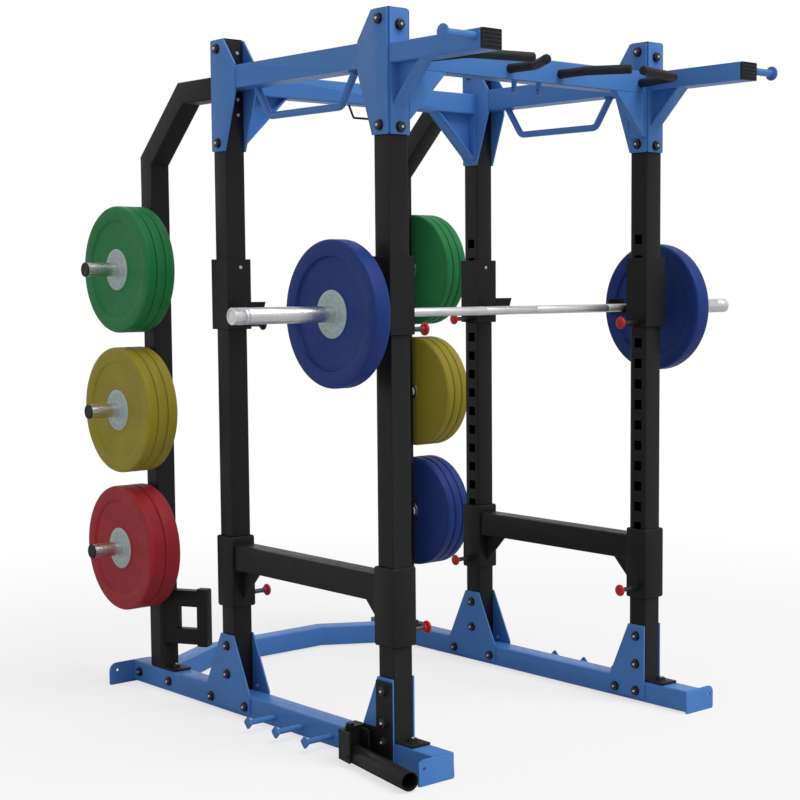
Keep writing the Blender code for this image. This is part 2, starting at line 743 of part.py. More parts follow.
def sliding_sleeve(name, sign, y, width, low, top):
    """A square sleeve round an upright."""
    x = sign * HALF_SPAN
    bore = square(TUBE + 2 * SLIDE_CLEAR)
    return sweep(name, [(x, y, low), (x, y, top)], square(width), X_AXIS, bore=bore)


def pin_bush(sign, y, z, width):
    """The bush on the sleeve's inner face, and the hole for the pin through both."""
    face = sign * (HALF_SPAN - width / 2)
    end = face - sign * PIN_BUSH
    bush = rod("bush", (face + sign * LAP, y, z), (end, y, z), PIN_BUSH_R, 10)
    hole = rod("hole", (sign * INNER_X, y, z), (end - sign * LAP, y, z), PIN_R + PIN_CLEAR, 10)
    return bush, hole


def locking_pin(name, sign, y, z, width, slot="red_knob"):
    """The pin in a sleeve, with its round knob, drawn out so that its tip is clear of the hole."""
    tip = sign * (INNER_X - GAP)
    neck = sign * (HALF_SPAN - width / 2 - PIN_BUSH - PIN_TRAVEL - 2 * LAP)
    knob = sign * PIN_KNOB_X
    profile = [
        (tip, PIN_R - PIN_TIP),
        (tip - sign * PIN_TIP, PIN_R),
        (neck, PIN_R),
        (knob + sign * PIN_KNOB_FRONT, PIN_BUSH_R - PIN_TIP),
        (knob + sign * PIN_KNOB_FRONT / 2, PIN_KNOB_R * PIN_KNOB_ROUND),
        (knob, PIN_KNOB_R),
        (knob - sign * PIN_KNOB_BACK / 2, PIN_KNOB_R * PIN_KNOB_ROUND),
        (knob - sign * PIN_KNOB_BACK, PIN_KNOB_R / 2),
    ]
    pin = turned(name, profile, (y, z), 10)
    return move_origin(paint(pin, slot), (knob, y, z))


def j_hook(row, y, inward, side, sign):
    """A hook on a sleeve. The bar lies on its floor, behind its lip."""
    sleeve = sliding_sleeve(
        "j_hook_{}_{}".format(row, side), sign, y, HOOK_SLEEVE, HOOK_SLEEVE_LOW, HOOK_SLEEVE_TOP
    )
    floor = BAR_Z - BAR_R - GAP
    under = floor - HOOK_FLOOR
    root = HOOK_SLEEVE / 2 - LAP
    rise = (HOOK_LIP_TIP - HOOK_LIP_FOOT) * HOOK_FLOOR / (HOOK_LIP_Z - under)
    outline = [
        (root, under),
        (HOOK_LIP_FOOT, under),
        (HOOK_LIP_TIP, HOOK_LIP_Z),
        (HOOK_LIP_TIP - HOOK_LIP, HOOK_LIP_Z),
        (HOOK_LIP_FOOT + rise - HOOK_LIP, floor),
        (root, floor),
    ]
    cradle = prism("cradle", [(y + inward * u, v) for u, v in outline], "X", sign * INNER_X, sign * OUTER_X)
    bush, hole = pin_bush(sign, y, HOOK_HOLE_Z, HOOK_SLEEVE)
    cut(weld(sleeve, cradle, bush), hole)
    return move_origin(paint(sleeve, "black_paint"), (sign * HALF_SPAN, y, HOOK_HOLE_Z))


def spotter_beam(side, sign):
    """A safety beam between the front and rear uprights of one side, with a sleeve on each."""
    x = sign * HALF_SPAN
    half = SPOTTER_SLEEVE / 2
    size = (SPOTTER_BEAM_TOP - SPOTTER_BEAM_LOW, TUBE)
    middle = (SPOTTER_BEAM_TOP + SPOTTER_BEAM_LOW) / 2
    front = FRONT_Y + half - LAP
    back = REAR_Y - half + LAP
    bore = square(size[0] - 2 * WALL, size[1] - 2 * WALL)
    name = "spotter_beam_" + side
    beam = sweep(name, [(x, front, middle), (x, back, middle)], square(*size), X_AXIS, bore=bore)
    parts = []
    holes = [rod("drain", (x, front + TUBE, SPOTTER_BEAM_LOW - WALL), (x, front + TUBE, middle), DRAIN_R, 8)]
    for y, inward in ((FRONT_Y, 1), (REAR_Y, -1)):
        parts.append(sliding_sleeve("sleeve", sign, y, SPOTTER_SLEEVE, SPOTTER_SLEEVE_LOW, SPOTTER_SLEEVE_TOP))
        root = y + inward * (half - LAP)
        knee = [
            (root, SPOTTER_BEAM_LOW + LAP),
            (root, SPOTTER_BEAM_LOW - SPOTTER_KNEE),
            (root + inward * SPOTTER_KNEE, SPOTTER_BEAM_LOW + LAP),
        ]
        parts.append(prism("knee", knee, "X", x - PLATE / 2, x + PLATE / 2))
        bush, hole = pin_bush(sign, y, SPOTTER_HOLE_Z, SPOTTER_SLEEVE)
        parts.append(bush)
        holes.append(hole)
    cut(weld(beam, *parts), *holes)
    return move_origin(paint(beam, "black_paint"), (x, FRONT_Y, SPOTTER_HOLE_Z))


# Top of the frame

def bracket_side(x, out, y, inward, low_bolt):
    """One cheek of the bracket round an upright's top, with its bolts."""
    outline = [
        (HALF, BRACKET_LOW),
        (HALF + BRACKET_BULGE, BRACKET_BULGE_LOW),
        (HALF + BRACKET_BULGE, BRACKET_BULGE_TOP),
        (HALF, UPRIGHT_TOP),
        (-HALF, UPRIGHT_TOP),
        (-HALF, BRACKET_LOW),
    ]
    far = x + out * PLATE
    cheek = prism("cheek", [(y + inward * u, v) for u, v in outline], "X", x, far)
    bolts = [hexagon_bolt(far, out, y, UPRIGHT_TOP - BRACKET_BOLT_TOP)]
    if low_bolt:
        bolts.append(hexagon_bolt(far, out, y, BRACKET_LOW + BRACKET_BOLT_LOW))
    return weld(cheek, *bolts)


def side_beam(side, sign):
    """The beam that joins the front and rear uprights of one side, with a bracket at each end."""
    x = sign * HALF_SPAN
    z = SIDE_BEAM_Z + HALF
    wide = TUBE + 2 * (GAP + LAP)
    ends = ((FRONT_Y, 1), (REAR_Y, -1))
    start, end = [y + inward * (HALF + GAP) for y, inward in ends]
    section = square(TUBE, wide)
    bore = square(TUBE - 2 * WALL, TUBE - 2 * WALL)
    beam = sweep("side_beam_" + side, [(x, start, z), (x, end, z)], section, X_AXIS, bore=bore)
    parts = []
    for y, inward in ends:
        parts.append(bracket_side(sign * (OUTER_X + GAP), sign, y, inward, True))
        parts.append(bracket_side(sign * (INNER_X - GAP), -sign, y, inward, inward > 0))
    return paint(weld(beam, *parts), "blue_paint")


def hoop_handle(side, sign):
    """The bent rod under a side beam, with a round pad at the top of each leg."""
    x = sign * HALF_SPAN
    top = SIDE_BEAM_Z - GAP
    pad_low = top - HOOP_PAD
    front = FRONT_Y + HALF
    back = REAR_Y - HALF
    low = SIDE_BEAM_Z - HOOP_DROP
    points = [
        (x, front + HOOP_TOP_IN, pad_low + HOOP_PAD / 2),
        (x, front + HOOP_BOTTOM_IN, low),
        (x, back - HOOP_BOTTOM_IN, low),
        (x, back - HOOP_TOP_IN, pad_low + HOOP_PAD / 2),
    ]
    path = rounded_path(points, HOOP_ROUND, 3)
    name = "hoop_handle_" + side
    hoop = sweep(name, path, circle(HOOP_R, 8), X_AXIS, start_cut=-Y_AXIS, end_cut=-Y_AXIS)
    pads = []
    for y in (points[0][1], points[3][1]):
        pads.append(rod("pad", (x, y, pad_low), (x, y, top), HOOP_PAD_R, 12))
    return paint(weld(hoop, *pads), "blue_paint")


def knee(axis, corner, along, reach, drop, web_start, flange):
    """A gusset under a beam: a web, and a wider flange along its slanted edge.

    corner is where the beam's underside meets the plate, in the plane across axis. flange is
    where the flange starts and ends on that axis.
    """
    length = math.hypot(reach, drop)
    under = corner[1] + LAP
    behind = corner[0] - along * LAP
    tip = corner[0] + along * reach
    foot = corner[1] - drop
    web = prism("web", [(behind, under), (tip, under), (behind, foot)], axis, web_start, web_start + PLATE)
    edge = [
        (tip, under),
        (tip - along * PLATE * length / drop, under),
        (behind, foot + PLATE * length / reach),
        (behind, foot),
    ]
    return web, prism("flange", edge, axis, *flange)


def cross_beam(name, y, low, reach, drop, web_start, flange):
    """A beam across the rack at one row of uprights, with a plate and a knee at each end."""
    end = BRACKET_INNER_X - GAP
    z = low + HALF
    beam = square_tube(name, [(-end, y, z), (end, y, z)], Z_AXIS)
    parts = []
    for sign in (-1, 1):
        face = sign * (end - PLATE)
        parts.append(block("end", (face, sign * end), (y - HALF, y + HALF), (low - drop, low + LAP)))
        parts += knee("Y", (face, low), -sign, reach - PLATE, drop - LAP, web_start, flange)
    return weld(beam, *parts)


def rear_cross_beam():
    flange = (REAR_Y - REAR_KNEE_FLANGE / 2, REAR_Y + REAR_KNEE_FLANGE / 2)
    start = REAR_Y - PLATE / 2
    size = (REAR_BEAM_Z, REAR_KNEE_REACH, REAR_KNEE_DROP)
    return paint(cross_beam("rear_cross_beam", REAR_Y, *size, start, flange), "blue_paint")


def cross_beam_loop():
    """The thin rod loop that hangs under the middle of the rear cross beam."""
    top = REAR_BEAM_Z - GAP
    low = REAR_BEAM_Z - LOOP_DROP
    corners = [(-LOOP_TOP, top), (-LOOP_LOW, low), (LOOP_LOW, low), (LOOP_TOP, top)]
    path = rounded_path([(x, REAR_Y, z) for x, z in corners], LOOP_ROUND, 3)
    loop = sweep("cross_beam_loop", path, circle(LOOP_R, 8), Y_AXIS, start_cut=X_AXIS, end_cut=X_AXIS)
    return paint(loop, "black_paint")


def pull_up_beam():
    """The beam between the front uprights, with two small eyes under it."""
    front = FRONT_Y - HALF + LAP
    flange = (front, front + FRONT_KNEE_FLANGE)
    beam = cross_beam("pull_up_beam", FRONT_Y, PULL_UP_Z, FRONT_KNEE, FRONT_KNEE, front, flange)
    for x in EYE_X:
        across = (x - EYE_THICK / 2, x + EYE_THICK / 2)
        low = PULL_UP_Z - EYE_SIZE
        eye = block("eye", across, (FRONT_Y - EYE_DEPTH / 2, FRONT_Y + EYE_DEPTH / 2), (low, PULL_UP_Z + LAP))
        centre = PULL_UP_Z - EYE_SIZE / 2
        ends = [(x + step, FRONT_Y, centre) for step in (-EYE_THICK, EYE_THICK)]
        weld(beam, cut(eye, rod("hole", ends[0], ends[1], EYE_HOLE_R, 8)))
    return paint(beam, "blue_paint")


def pull_up_grip(name, sign, points):
    """A bent round grip that stands forward of the pull-up beam."""
    z = PULL_UP_Z + GRIP_Z
    start = FRONT_Y - HALF - GAP
    places = [(sign * points[0][0] * HALF_SPAN, start, z)]
    places += [(sign * share * HALF_SPAN, FRONT_Y - reach, z) for share, reach in points[1:]]
    path = rounded_path(places, GRIP_ROUND, 4)
    return paint(sweep(name, path, circle(GRIP_R, 12), Z_AXIS, start_cut=X_AXIS), "grip_rubber")


def front_arm(side, sign):
    """The arm out of a front upright, with its face plate, knee, peg and end cap."""
    x = sign * HALF_SPAN
    z = ARM_Z + ARM_HEIGHT / 2
    face = FRONT_Y - HALF - GAP
    root = face - PLATE
    tip = FRONT_Y - ARM_REACH
    section = square(ARM_HEIGHT, TUBE)
    bore = square(ARM_HEIGHT - 2 * WALL, TUBE - 2 * WALL)
    arm = sweep("front_arm_" + side, [(x, root + LAP, z), (x, tip + ARM_CAP - LAP, z)], section, X_AXIS, bore=bore)
    across = (x - HALF, x + HALF)
    plate = block("plate", across, (face, root), (BRACKET_LOW, UPRIGHT_TOP))
    inset = HALF - LAP
    cap = block("cap", (x - inset, x + inset), (tip, tip + ARM_CAP), (ARM_Z + LAP, ARM_Z + ARM_HEIGHT - LAP))
    heights = (UPRIGHT_TOP - ARM_BOLT_TOP, BRACKET_LOW + ARM_BOLT_LOW)
    bolts = [face_bolt(x, root, -1, height) for height in heights]
    flange = (x - ARM_KNEE_FLANGE / 2, x + ARM_KNEE_FLANGE / 2)
    brace = knee("X", (root, ARM_Z), -1, ARM_KNEE, ARM_KNEE, x - PLATE / 2, flange)
    peg_y = tip + ARM_PEG_FROM_TIP
    peg_z = z + ARM_PEG_RISE
    end = sign * (OUTER_X + ARM_PEG_LENGTH)
    peg = rod("peg", (sign * (OUTER_X - LAP), peg_y, peg_z), (end, peg_y, peg_z), ARM_PEG_R, 10)
    disc = rod("disc", (end - sign * PLATE, peg_y, peg_z), (end, peg_y, peg_z), ARM_PEG_END_R, 12)
    weld(arm, plate, cap, *brace, peg, disc, *bolts)
    vent = rod("vent", (x, root - PLATE, z), (x, face + PLATE, z), DRAIN_R, 8)
    return paint(cut(arm, vent), "blue_paint")


# Landmine

def swivel_place():
    """The swivel pin's axis, and the directions along and across the tube at rest."""
    pivot = Vector((-HALF_SPAN - SWIVEL_OUT, FRONT_Y + SWIVEL_BACK, 0.0))
    turn = math.radians(LANDMINE_ANGLE)
    ahead = Vector((-math.sin(turn), -math.cos(turn), 0.0))
    across = Vector((-math.cos(turn), math.sin(turn), 0.0))
    return pivot, ahead, across


def landmine_bracket():
    """The plate bolted over the front left gusset, with two ears that hold the swivel pin."""
    pivot = swivel_place()[0]
    face = -(OUTER_X + GAP + PLATE + GAP)
    far = face - PLATE
    bar = block("landmine_bracket", (face, far), (FRONT_Y - HALF, FRONT_Y + HALF), (MINE_BAR_LOW, MINE_BAR_TOP))
    back = pivot.y + MINE_PLATE_BACK
    plate = block("plate", (face, far), (FRONT_Y - HALF, back), (YOKE_LOW - GAP - MINE_EAR, MINE_PLATE_TOP))
    parts = [plate]
    ear = [(far + LAP, pivot.y - MINE_EAR_R)]
    ear += arc((pivot.x, pivot.y), MINE_EAR_R, 270, 90, 4)
    ear.append((far + LAP, back))
    low_ear = YOKE_LOW - GAP - MINE_EAR
    top_ear = YOKE_TOP + GAP
    parts.append(prism("ear", ear, "Z", low_ear, low_ear + MINE_EAR))
    parts.append(prism("ear", ear, "Z", top_ear, top_ear + MINE_EAR))
    foot = (pivot.x, pivot.y, low_ear + LAP)
    parts.append(rod("swivel_pin", foot, (pivot.x, pivot.y, top_ear + LAP), SWIVEL_PIN_R, 12))
    head = [(pivot.x + u, pivot.y + v) for u, v in circle(BOLT_R, 6)]
    top = top_ear + MINE_EAR
    parts.append(prism("head", head, "Z", top - LAP, top + BOLT_HEAD))
    parts.append(prism("nut", head, "Z", low_ear + LAP, low_ear - MINE_EAR))
    for v in MINE_BOLTS:
        parts.append(hexagon_bolt(far, -1, FRONT_Y, v))
    return paint(weld(bar, *parts), "black_paint")


def landmine_yoke():
    """The fork that turns on the swivel pin and carries the tube between its cheeks."""
    pivot, ahead, across = swivel_place()
    slot = LANDMINE_R + YOKE_CLEAR
    half = slot + YOKE_CHEEK
    web = YOKE_WEB / 2
    corners = [
        (-web, -half),
        (YOKE_CHEEK_END, -half),
        (YOKE_CHEEK_END, -slot),
        (web, -slot),
        (web, slot),
        (YOKE_CHEEK_END, slot),
        (YOKE_CHEEK_END, half),
        (-web, half),
    ]
    outline = [pivot + ahead * u + across * v for u, v in corners]
    yoke = prism("landmine_yoke", [(p.x, p.y) for p in outline], "Z", YOKE_LOW, YOKE_TOP)
    low = (pivot.x, pivot.y, YOKE_LOW - PLATE)
    high = (pivot.x, pivot.y, YOKE_TOP + PLATE)
    cut(yoke, rod("hole", low, high, SWIVEL_PIN_R + YOKE_CLEAR, 12))
    middle = pivot + ahead * YOKE_PIN_FORWARD + Z_AXIS * LANDMINE_Z
    pins = []
    for sign in (-1, 1):
        start = middle + across * sign * (LANDMINE_BORE_R + LAP)
        end = middle + across * sign * (half + YOKE_PIN_END)
        pins.append(rod("pin", start, end, YOKE_PIN_R, 12))
    return move_origin(paint(weld(yoke, *pins), "black_paint"), pivot)


def landmine_tube():
    """The tube that takes the end of a barbell. It tips up about the pins in the yoke."""
    pivot, ahead, across = swivel_place()
    middle = pivot + ahead * YOKE_PIN_FORWARD + Z_AXIS * LANDMINE_Z
    start = middle - ahead * TUBE_BEHIND_PIN
    end = pivot + ahead * LANDMINE_REACH + Z_AXIS * LANDMINE_Z
    tube = rod("landmine_tube", start, end, LANDMINE_R, 16, LANDMINE_BORE_R)
    reach = across * (LANDMINE_R + PLATE)
    cut(tube, rod("hole", middle - reach, middle + reach, YOKE_PIN_R + YOKE_CLEAR, 12))
    return move_origin(paint(tube, "black_paint"), middle)


# Assembly

def build_base():
    for side, sign in SIDES:
        base_rail(side, sign)
        for row, y, inward in ROWS:
            for outer in (True, False):
                base_gusset(row, y, side, sign, outer)
    rear_cross_member()


def build_columns():
    for side, sign in SIDES:
        for row, y, inward in ROWS:
            upright(row, y, side, sign)
        storage_upright(side, sign)
    bar_holder()


def build_top():
    for side, sign in SIDES:
        side_beam(side, sign)
        hoop_handle(side, sign)
        front_arm(side, sign)
        pull_up_grip("pull_up_grip_outer_" + side, sign, OUTER_GRIP)
        pull_up_grip("pull_up_grip_inner_" + side, sign, INNER_GRIP)
    rear_cross_beam()
    cross_beam_loop()
    pull_up_beam()


def build_sliding_pieces():
    for side, sign in SIDES:
        spotter_beam(side, sign)
        for row, y, inward in ROWS:
            place_name = "{}_{}".format(row, side)
            j_hook(row, y, inward, side, sign)
            slot = "black_paint" if place_name == "rear_left" else "red_knob"
            locking_pin("j_hook_pin_" + place_name, sign, y, HOOK_HOLE_Z, HOOK_SLEEVE, slot)
            locking_pin("spotter_pin_" + place_name, sign, y, SPOTTER_HOLE_Z, SPOTTER_SLEEVE)


def build_weights():
    bar_shaft()
    for side, sign in SIDES:
        bar_sleeve(side, sign)
        bar_plate(side, sign)
        plate_stack(side, sign, 0, 3, "green_rubber")
        plate_stack(side, sign, 1, 3, "yellow_rubber")
    plate_stack("left", -1, 2, 2, "red_rubber")
    plate_stack("right", 1, 2, 3, "blue_rubber")


def build_landmine():
    landmine_bracket()
    landmine_yoke()
    landmine_tube()


clear_scene()
build_base()
build_columns()
build_top()
build_sliding_pieces()
build_weights()
build_landmine()
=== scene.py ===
# %% [markdown]
# A power rack with a loaded barbell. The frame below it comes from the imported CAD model,
# where every solid already sits at its place in metres. This script gives those solids
# their paint, models the round and moulded pieces again with more shape, and sets up the
# floor, the light and the camera.

# %% Load the frame
import math

import bmesh
import bpy
from mathutils import Matrix, Vector


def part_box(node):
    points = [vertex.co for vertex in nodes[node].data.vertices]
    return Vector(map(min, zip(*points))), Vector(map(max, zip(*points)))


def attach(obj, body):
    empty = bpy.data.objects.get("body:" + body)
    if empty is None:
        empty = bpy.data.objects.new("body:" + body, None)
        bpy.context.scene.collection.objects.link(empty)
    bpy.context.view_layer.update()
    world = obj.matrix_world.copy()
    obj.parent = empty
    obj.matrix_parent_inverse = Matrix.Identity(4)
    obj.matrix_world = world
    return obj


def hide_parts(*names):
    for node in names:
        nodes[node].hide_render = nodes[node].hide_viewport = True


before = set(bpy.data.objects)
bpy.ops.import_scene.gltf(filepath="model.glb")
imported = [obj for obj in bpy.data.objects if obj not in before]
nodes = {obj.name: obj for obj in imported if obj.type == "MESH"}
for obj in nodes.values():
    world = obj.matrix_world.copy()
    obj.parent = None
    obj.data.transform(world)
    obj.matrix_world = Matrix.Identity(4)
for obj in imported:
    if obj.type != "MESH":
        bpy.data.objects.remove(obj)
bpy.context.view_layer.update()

# %% [markdown]
# The frame is made of 75 mm square tube, and almost everything is placed from the middle
# of a tube. These are the few places that the pieces below share. They could be read off
# each solid, but a maker's drawing has them as numbers too. Two of them are read off the
# solids and printed here.

# %% Places on the rack
TUBE = 0.075
PLATE = 0.006
GAP = 0.0003
HALF_SPAN = 0.5715
OUTER_X = HALF_SPAN + TUBE / 2
INNER_X = HALF_SPAN - TUBE / 2
FRONT_Y, REAR_Y, STORAGE_Y = -0.5615, 0.3085, 0.7895
ARM_TIP = FRONT_Y - 0.453
BAR_Y, BAR_Z = -0.4785, 1.401
TOP_Z = 2.310
SIDES = (("left", -1), ("right", 1))
bar_low, bar_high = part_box("bar_shaft")
post_low, post_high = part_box("upright_front_left")
print("bar middle", round((bar_low.y + bar_high.y) / 2, 4), round((bar_low.z + bar_high.z) / 2, 4))
print("upright outer face", round(post_low.x, 4), "top", round(post_high.z, 4))

# %% [markdown]
# Every new piece starts from one of Blender's primitives. The loaded solids are all
# selected at first, so the helper deselects everything before it adds one. It then
# applies the place and turn, which leaves the object at the origin with its place in its
# mesh, as the solids have it. Most round pieces here lie along X.

# %% A primitive at its size and place
def primitive(name, kind, **spec):
    """Adds one primitive, selected on its own, with its place in its mesh."""
    if bpy.context.object and bpy.context.object.mode != "OBJECT":
        bpy.ops.object.mode_set(mode="OBJECT")
    bpy.ops.object.select_all(action="DESELECT")
    getattr(bpy.ops.mesh, "primitive_{}_add".format(kind))(**spec)
    obj = bpy.context.active_object
    obj.name = obj.data.name = name
    bpy.ops.object.transform_apply(location=True, rotation=True, scale=True)
    return obj


def x_cylinder(name, sides, radius, start, end, centre):
    """A cylinder along X between two places, about the point (y, z)."""
    return primitive(
        name, "cylinder", vertices=sides, radius=radius, depth=abs(end - start),
        location=((start + end) / 2, *centre), rotation=(0.0, math.pi / 2, 0.0),
    )


def pick(obj):
    """Selects one object alone and makes it active."""
    bpy.ops.object.select_all(action="DESELECT")
    obj.select_set(True)
    bpy.context.view_layer.objects.active = obj


# %% [markdown]
# An operator in edit mode acts on what is selected. By hand that is a click; in code it
# is a test on each face's middle and normal, or on each edge's two ends.

# %% Selecting faces and edges by their place
def select_parts(obj, kind, test):
    """Selects the faces or edges that pass the test and nothing else, in edit mode."""
    if obj.mode != "EDIT":
        bpy.ops.object.mode_set(mode="EDIT")
    bpy.ops.mesh.select_mode(type=kind)
    bpy.ops.mesh.select_all(action="DESELECT")
    bm = bmesh.from_edit_mesh(obj.data)
    parts = bm.faces if kind == "FACE" else bm.edges
    for part in parts:
        if test(part):
            part.select_set(True)
    bmesh.update_edit_mesh(obj.data)
    return sum(part.select for part in parts)


def select_faces(obj, test):
    return select_parts(obj, "FACE", test)


def select_edges(obj, test):
    return select_parts(obj, "EDGE", test)


# %% [markdown]
# Two jobs come again and again on turned pieces: a round along the rims, and a face that
# is inset in steps, each with its own width and depth.

# %% Rounding rims and stepping faces
RIM_ANGLE = 1.0


def round_rims(obj, width, segments, test=lambda edge: True):
    """Bevels the edges that turn sharply and pass the test."""
    select_edges(obj, lambda edge: edge.calc_face_angle(0.0) > RIM_ANGLE and test(edge))
    bpy.ops.mesh.bevel(offset=width, segments=segments, affect="EDGES")


def inset_steps(*steps, each=False):
    """Insets the selected faces once for each width and depth."""
    for width, depth in steps:
        bpy.ops.mesh.inset(thickness=width, depth=depth, use_individual=each)


# %% [markdown]
# Each piece is closed off the same way: back to object mode, shading that is smooth
# except over sharp edges, its material, the body that it moves with, and the CAD nodes
# that it stands for.

# %% Closing off a piece
SMOOTH = math.radians(35)


def finish(obj, material, body, stands_for=(), angle=SMOOTH):
    """The last steps of a piece. stands_for names the CAD nodes that it hides."""
    if obj.mode != "OBJECT":
        bpy.ops.object.mode_set(mode="OBJECT")
    pick(obj)
    bpy.ops.object.shade_smooth_by_angle(angle=angle)
    obj.data.materials.clear()
    obj.data.materials.append(material)
    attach(obj, body)
    if stands_for:
        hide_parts(*stands_for)
    return obj


def own_copy(obj, name):
    """A copy with a mesh of its own."""
    twin = obj.copy()
    twin.data = obj.data.copy()
    twin.name = twin.data.name = name
    bpy.context.collection.objects.link(twin)
    return twin


def copy_at(obj, name, place, out):
    """A copy whose mesh is turned from Z to the direction out and moved to place."""
    twin = own_copy(obj, name)
    turn = Vector(out).to_track_quat("Z", "Y").to_matrix().to_4x4()
    twin.data.transform(Matrix.Translation(place) @ turn)
    return twin


# %% [markdown]
# Materials are built from nodes. Each one reads Object coordinates, which here are real
# metres in the rack's own frame, so a noise scale of 900 gives grains about a millimetre
# across. One small class keeps the wiring short: it starts a material with its shader,
# and most of its methods add one node and return its output.

# %% Node helpers
class Finish:
    """One material being wired up."""

    def __init__(self, name, roughness=0.4, metallic=0.0, **inputs):
        self.material = bpy.data.materials.new(name)
        self.material.use_nodes = True
        self.tree = self.material.node_tree
        self.shader = self.tree.nodes["Principled BSDF"]
        self.set(Roughness=roughness, Metallic=metallic, **inputs)
        self.place = self.add("ShaderNodeTexCoord").outputs["Object"]

    def add(self, kind, **settings):
        node = self.tree.nodes.new(kind)
        for key, value in settings.items():
            setattr(node, key, value)
        return node

    def set(self, **inputs):
        for key, value in inputs.items():
            self.shader.inputs[key.replace("_", " ")].default_value = value

    def plug(self, socket, value):
        if isinstance(value, bpy.types.NodeSocket):
            self.tree.links.new(value, socket)
        else:
            socket.default_value = value

    def moved(self, location=(0, 0, 0), scale=(1, 1, 1)):
        node = self.add("ShaderNodeMapping")
        self.plug(node.inputs["Vector"], self.place)
        node.inputs["Location"].default_value = location
        node.inputs["Scale"].default_value = scale
        return node.outputs["Vector"]

    def noise(self, scale, detail=3.0, roughness=0.55, where=None):
        node = self.add("ShaderNodeTexNoise")
        self.plug(node.inputs["Vector"], where or self.place)
        node.inputs["Scale"].default_value = scale
        node.inputs["Detail"].default_value = detail
        node.inputs["Roughness"].default_value = roughness
        return node.outputs["Fac"]

    def spread(self, value, low, high, to_low=0.0, to_high=1.0):
        node = self.add("ShaderNodeMapRange")
        node.clamp = True
        self.plug(node.inputs["Value"], value)
        for key, number in (("From Min", low), ("From Max", high), ("To Min", to_low), ("To Max", to_high)):
            node.inputs[key].default_value = number
        return node.outputs["Result"]

    def patches(self, scale, detail, to_low=0.0, to_high=1.0):
        """Slow patches of noise, stretched to run from one value to the other."""
        return self.spread(self.noise(scale, detail), 0.3, 0.7, to_low, to_high)

    def mix(self, amount, one, two):
        node = self.add("ShaderNodeMix", data_type="RGBA")
        self.plug(node.inputs["Factor"], amount)
        self.plug(node.inputs[6], one)
        self.plug(node.inputs[7], two)
        return node.outputs[2]

    def sum(self, operation, one, two=0.0):
        node = self.add("ShaderNodeMath", operation=operation)
        self.plug(node.inputs[0], one)
        self.plug(node.inputs[1], two)
        return node.outputs[0]

    def axes(self, vector):
        node = self.add("ShaderNodeSeparateXYZ")
        self.plug(node.inputs["Vector"], vector)
        return node.outputs

    def bump(self, height, distance, strength=1.0, under=None):
        node = self.add("ShaderNodeBump")
        self.plug(node.inputs["Height"], height)
        node.inputs["Distance"].default_value = distance
        node.inputs["Strength"].default_value = strength
        if under:
            self.plug(node.inputs["Normal"], under)
        return node.outputs["Normal"]

    def wear(self, **sockets):
        for key, value in sockets.items():
            self.plug(self.shader.inputs[key.replace("_", " ")], value)
        return self.material


def lighter(colour, by):
    return tuple(min(1.0, c * by) for c in colour[:3]) + (1.0,)


def small_part_finish(name, colours, scales, gloss, grain, **shader):
    """A finish in two close colours.

    scales holds the noise scale and detail of the colour, the gloss and the grain; gloss
    is the least and most roughness; grain is the bump's depth and strength.
    """
    made = Finish(name, **shader)
    base = made.mix(made.patches(*scales[0]), *colours)
    rough = made.patches(*scales[1], *gloss)
    return made.wear(Base_Color=base, Roughness=rough, Normal=made.bump(made.noise(*scales[2]), *grain))


# %% [markdown]
# Powder coat covers the whole frame. It is sprayed on as dust and baked, so it has a fine
# orange peel, a colour that drifts a little over a big part, and a soft gloss that varies
# with it. A flat colour with one gloss value looks like plastic film. Here a slow noise
# moves the colour, a middling one the gloss, and a fine one the surface.

# %% Powder coats
def powder_coat(name, colour, gloss, peel, shine):
    coat = Finish(name, roughness=gloss, Specular_IOR_Level=shine, Coat_Weight=0.03, Coat_Roughness=0.25)
    base = coat.mix(coat.patches(5.0, 4.0), lighter(colour, 0.94), lighter(colour, 1.05))
    grit = coat.spread(coat.noise(260.0, 2.0), 0.60, 0.78)
    base = coat.mix(coat.sum("MULTIPLY", grit, 0.22), base, lighter(colour, 1.35))
    rough = coat.patches(38.0, 4.0, gloss - 0.05, gloss + 0.07)
    grain = coat.bump(coat.noise(620.0, 2.0), 0.00022, peel)
    dents = coat.bump(coat.noise(42.0, 2.0), 0.0006, 0.10, grain)
    return coat.wear(Base_Color=base, Roughness=rough, Normal=dents)


BLUE = (0.068, 0.208, 0.545, 1.0)
BLACK = (0.0098, 0.0102, 0.0106, 1.0)
blue_coat = powder_coat("blue_powder_coat", BLUE, 0.36, 0.30, 0.22)
black_coat = powder_coat("black_powder_coat", BLACK, 0.42, 0.40, 0.16)
print("materials", blue_coat.name, black_coat.name)

# %% [markdown]
# The solids that stay as they are come in as loose triangles with knife-sharp edges. Real
# tube and cut plate have small rounds that catch the light. A Weld modifier joins the
# triangles, and a Bevel modifier rounds each edge that turns by more than 25 degrees. The
# modifiers stay live, and the solid's own mesh isn't touched.

# %% Paint and round the carried-over solids
PAINTS = {"blue_paint": blue_coat, "black_paint": black_coat}
EDGE_ROUND = 0.0016
WELD = 0.00002


def live_bevel(obj, degrees):
    """Rounds every edge that turns by more than the angle given."""
    edge = obj.modifiers.new("round_edges", "BEVEL")
    edge.width = EDGE_ROUND
    edge.segments = 2
    edge.limit_method = "ANGLE"
    edge.angle_limit = math.radians(degrees)
    edge.harden_normals = True


def dress(obj):
    for piece in obj.material_slots:
        piece.material = next(PAINTS[key] for key in PAINTS if piece.material.name.startswith(key))
    join = obj.modifiers.new("join_triangles", "WELD")
    join.merge_threshold = WELD
    live_bevel(obj, 25)


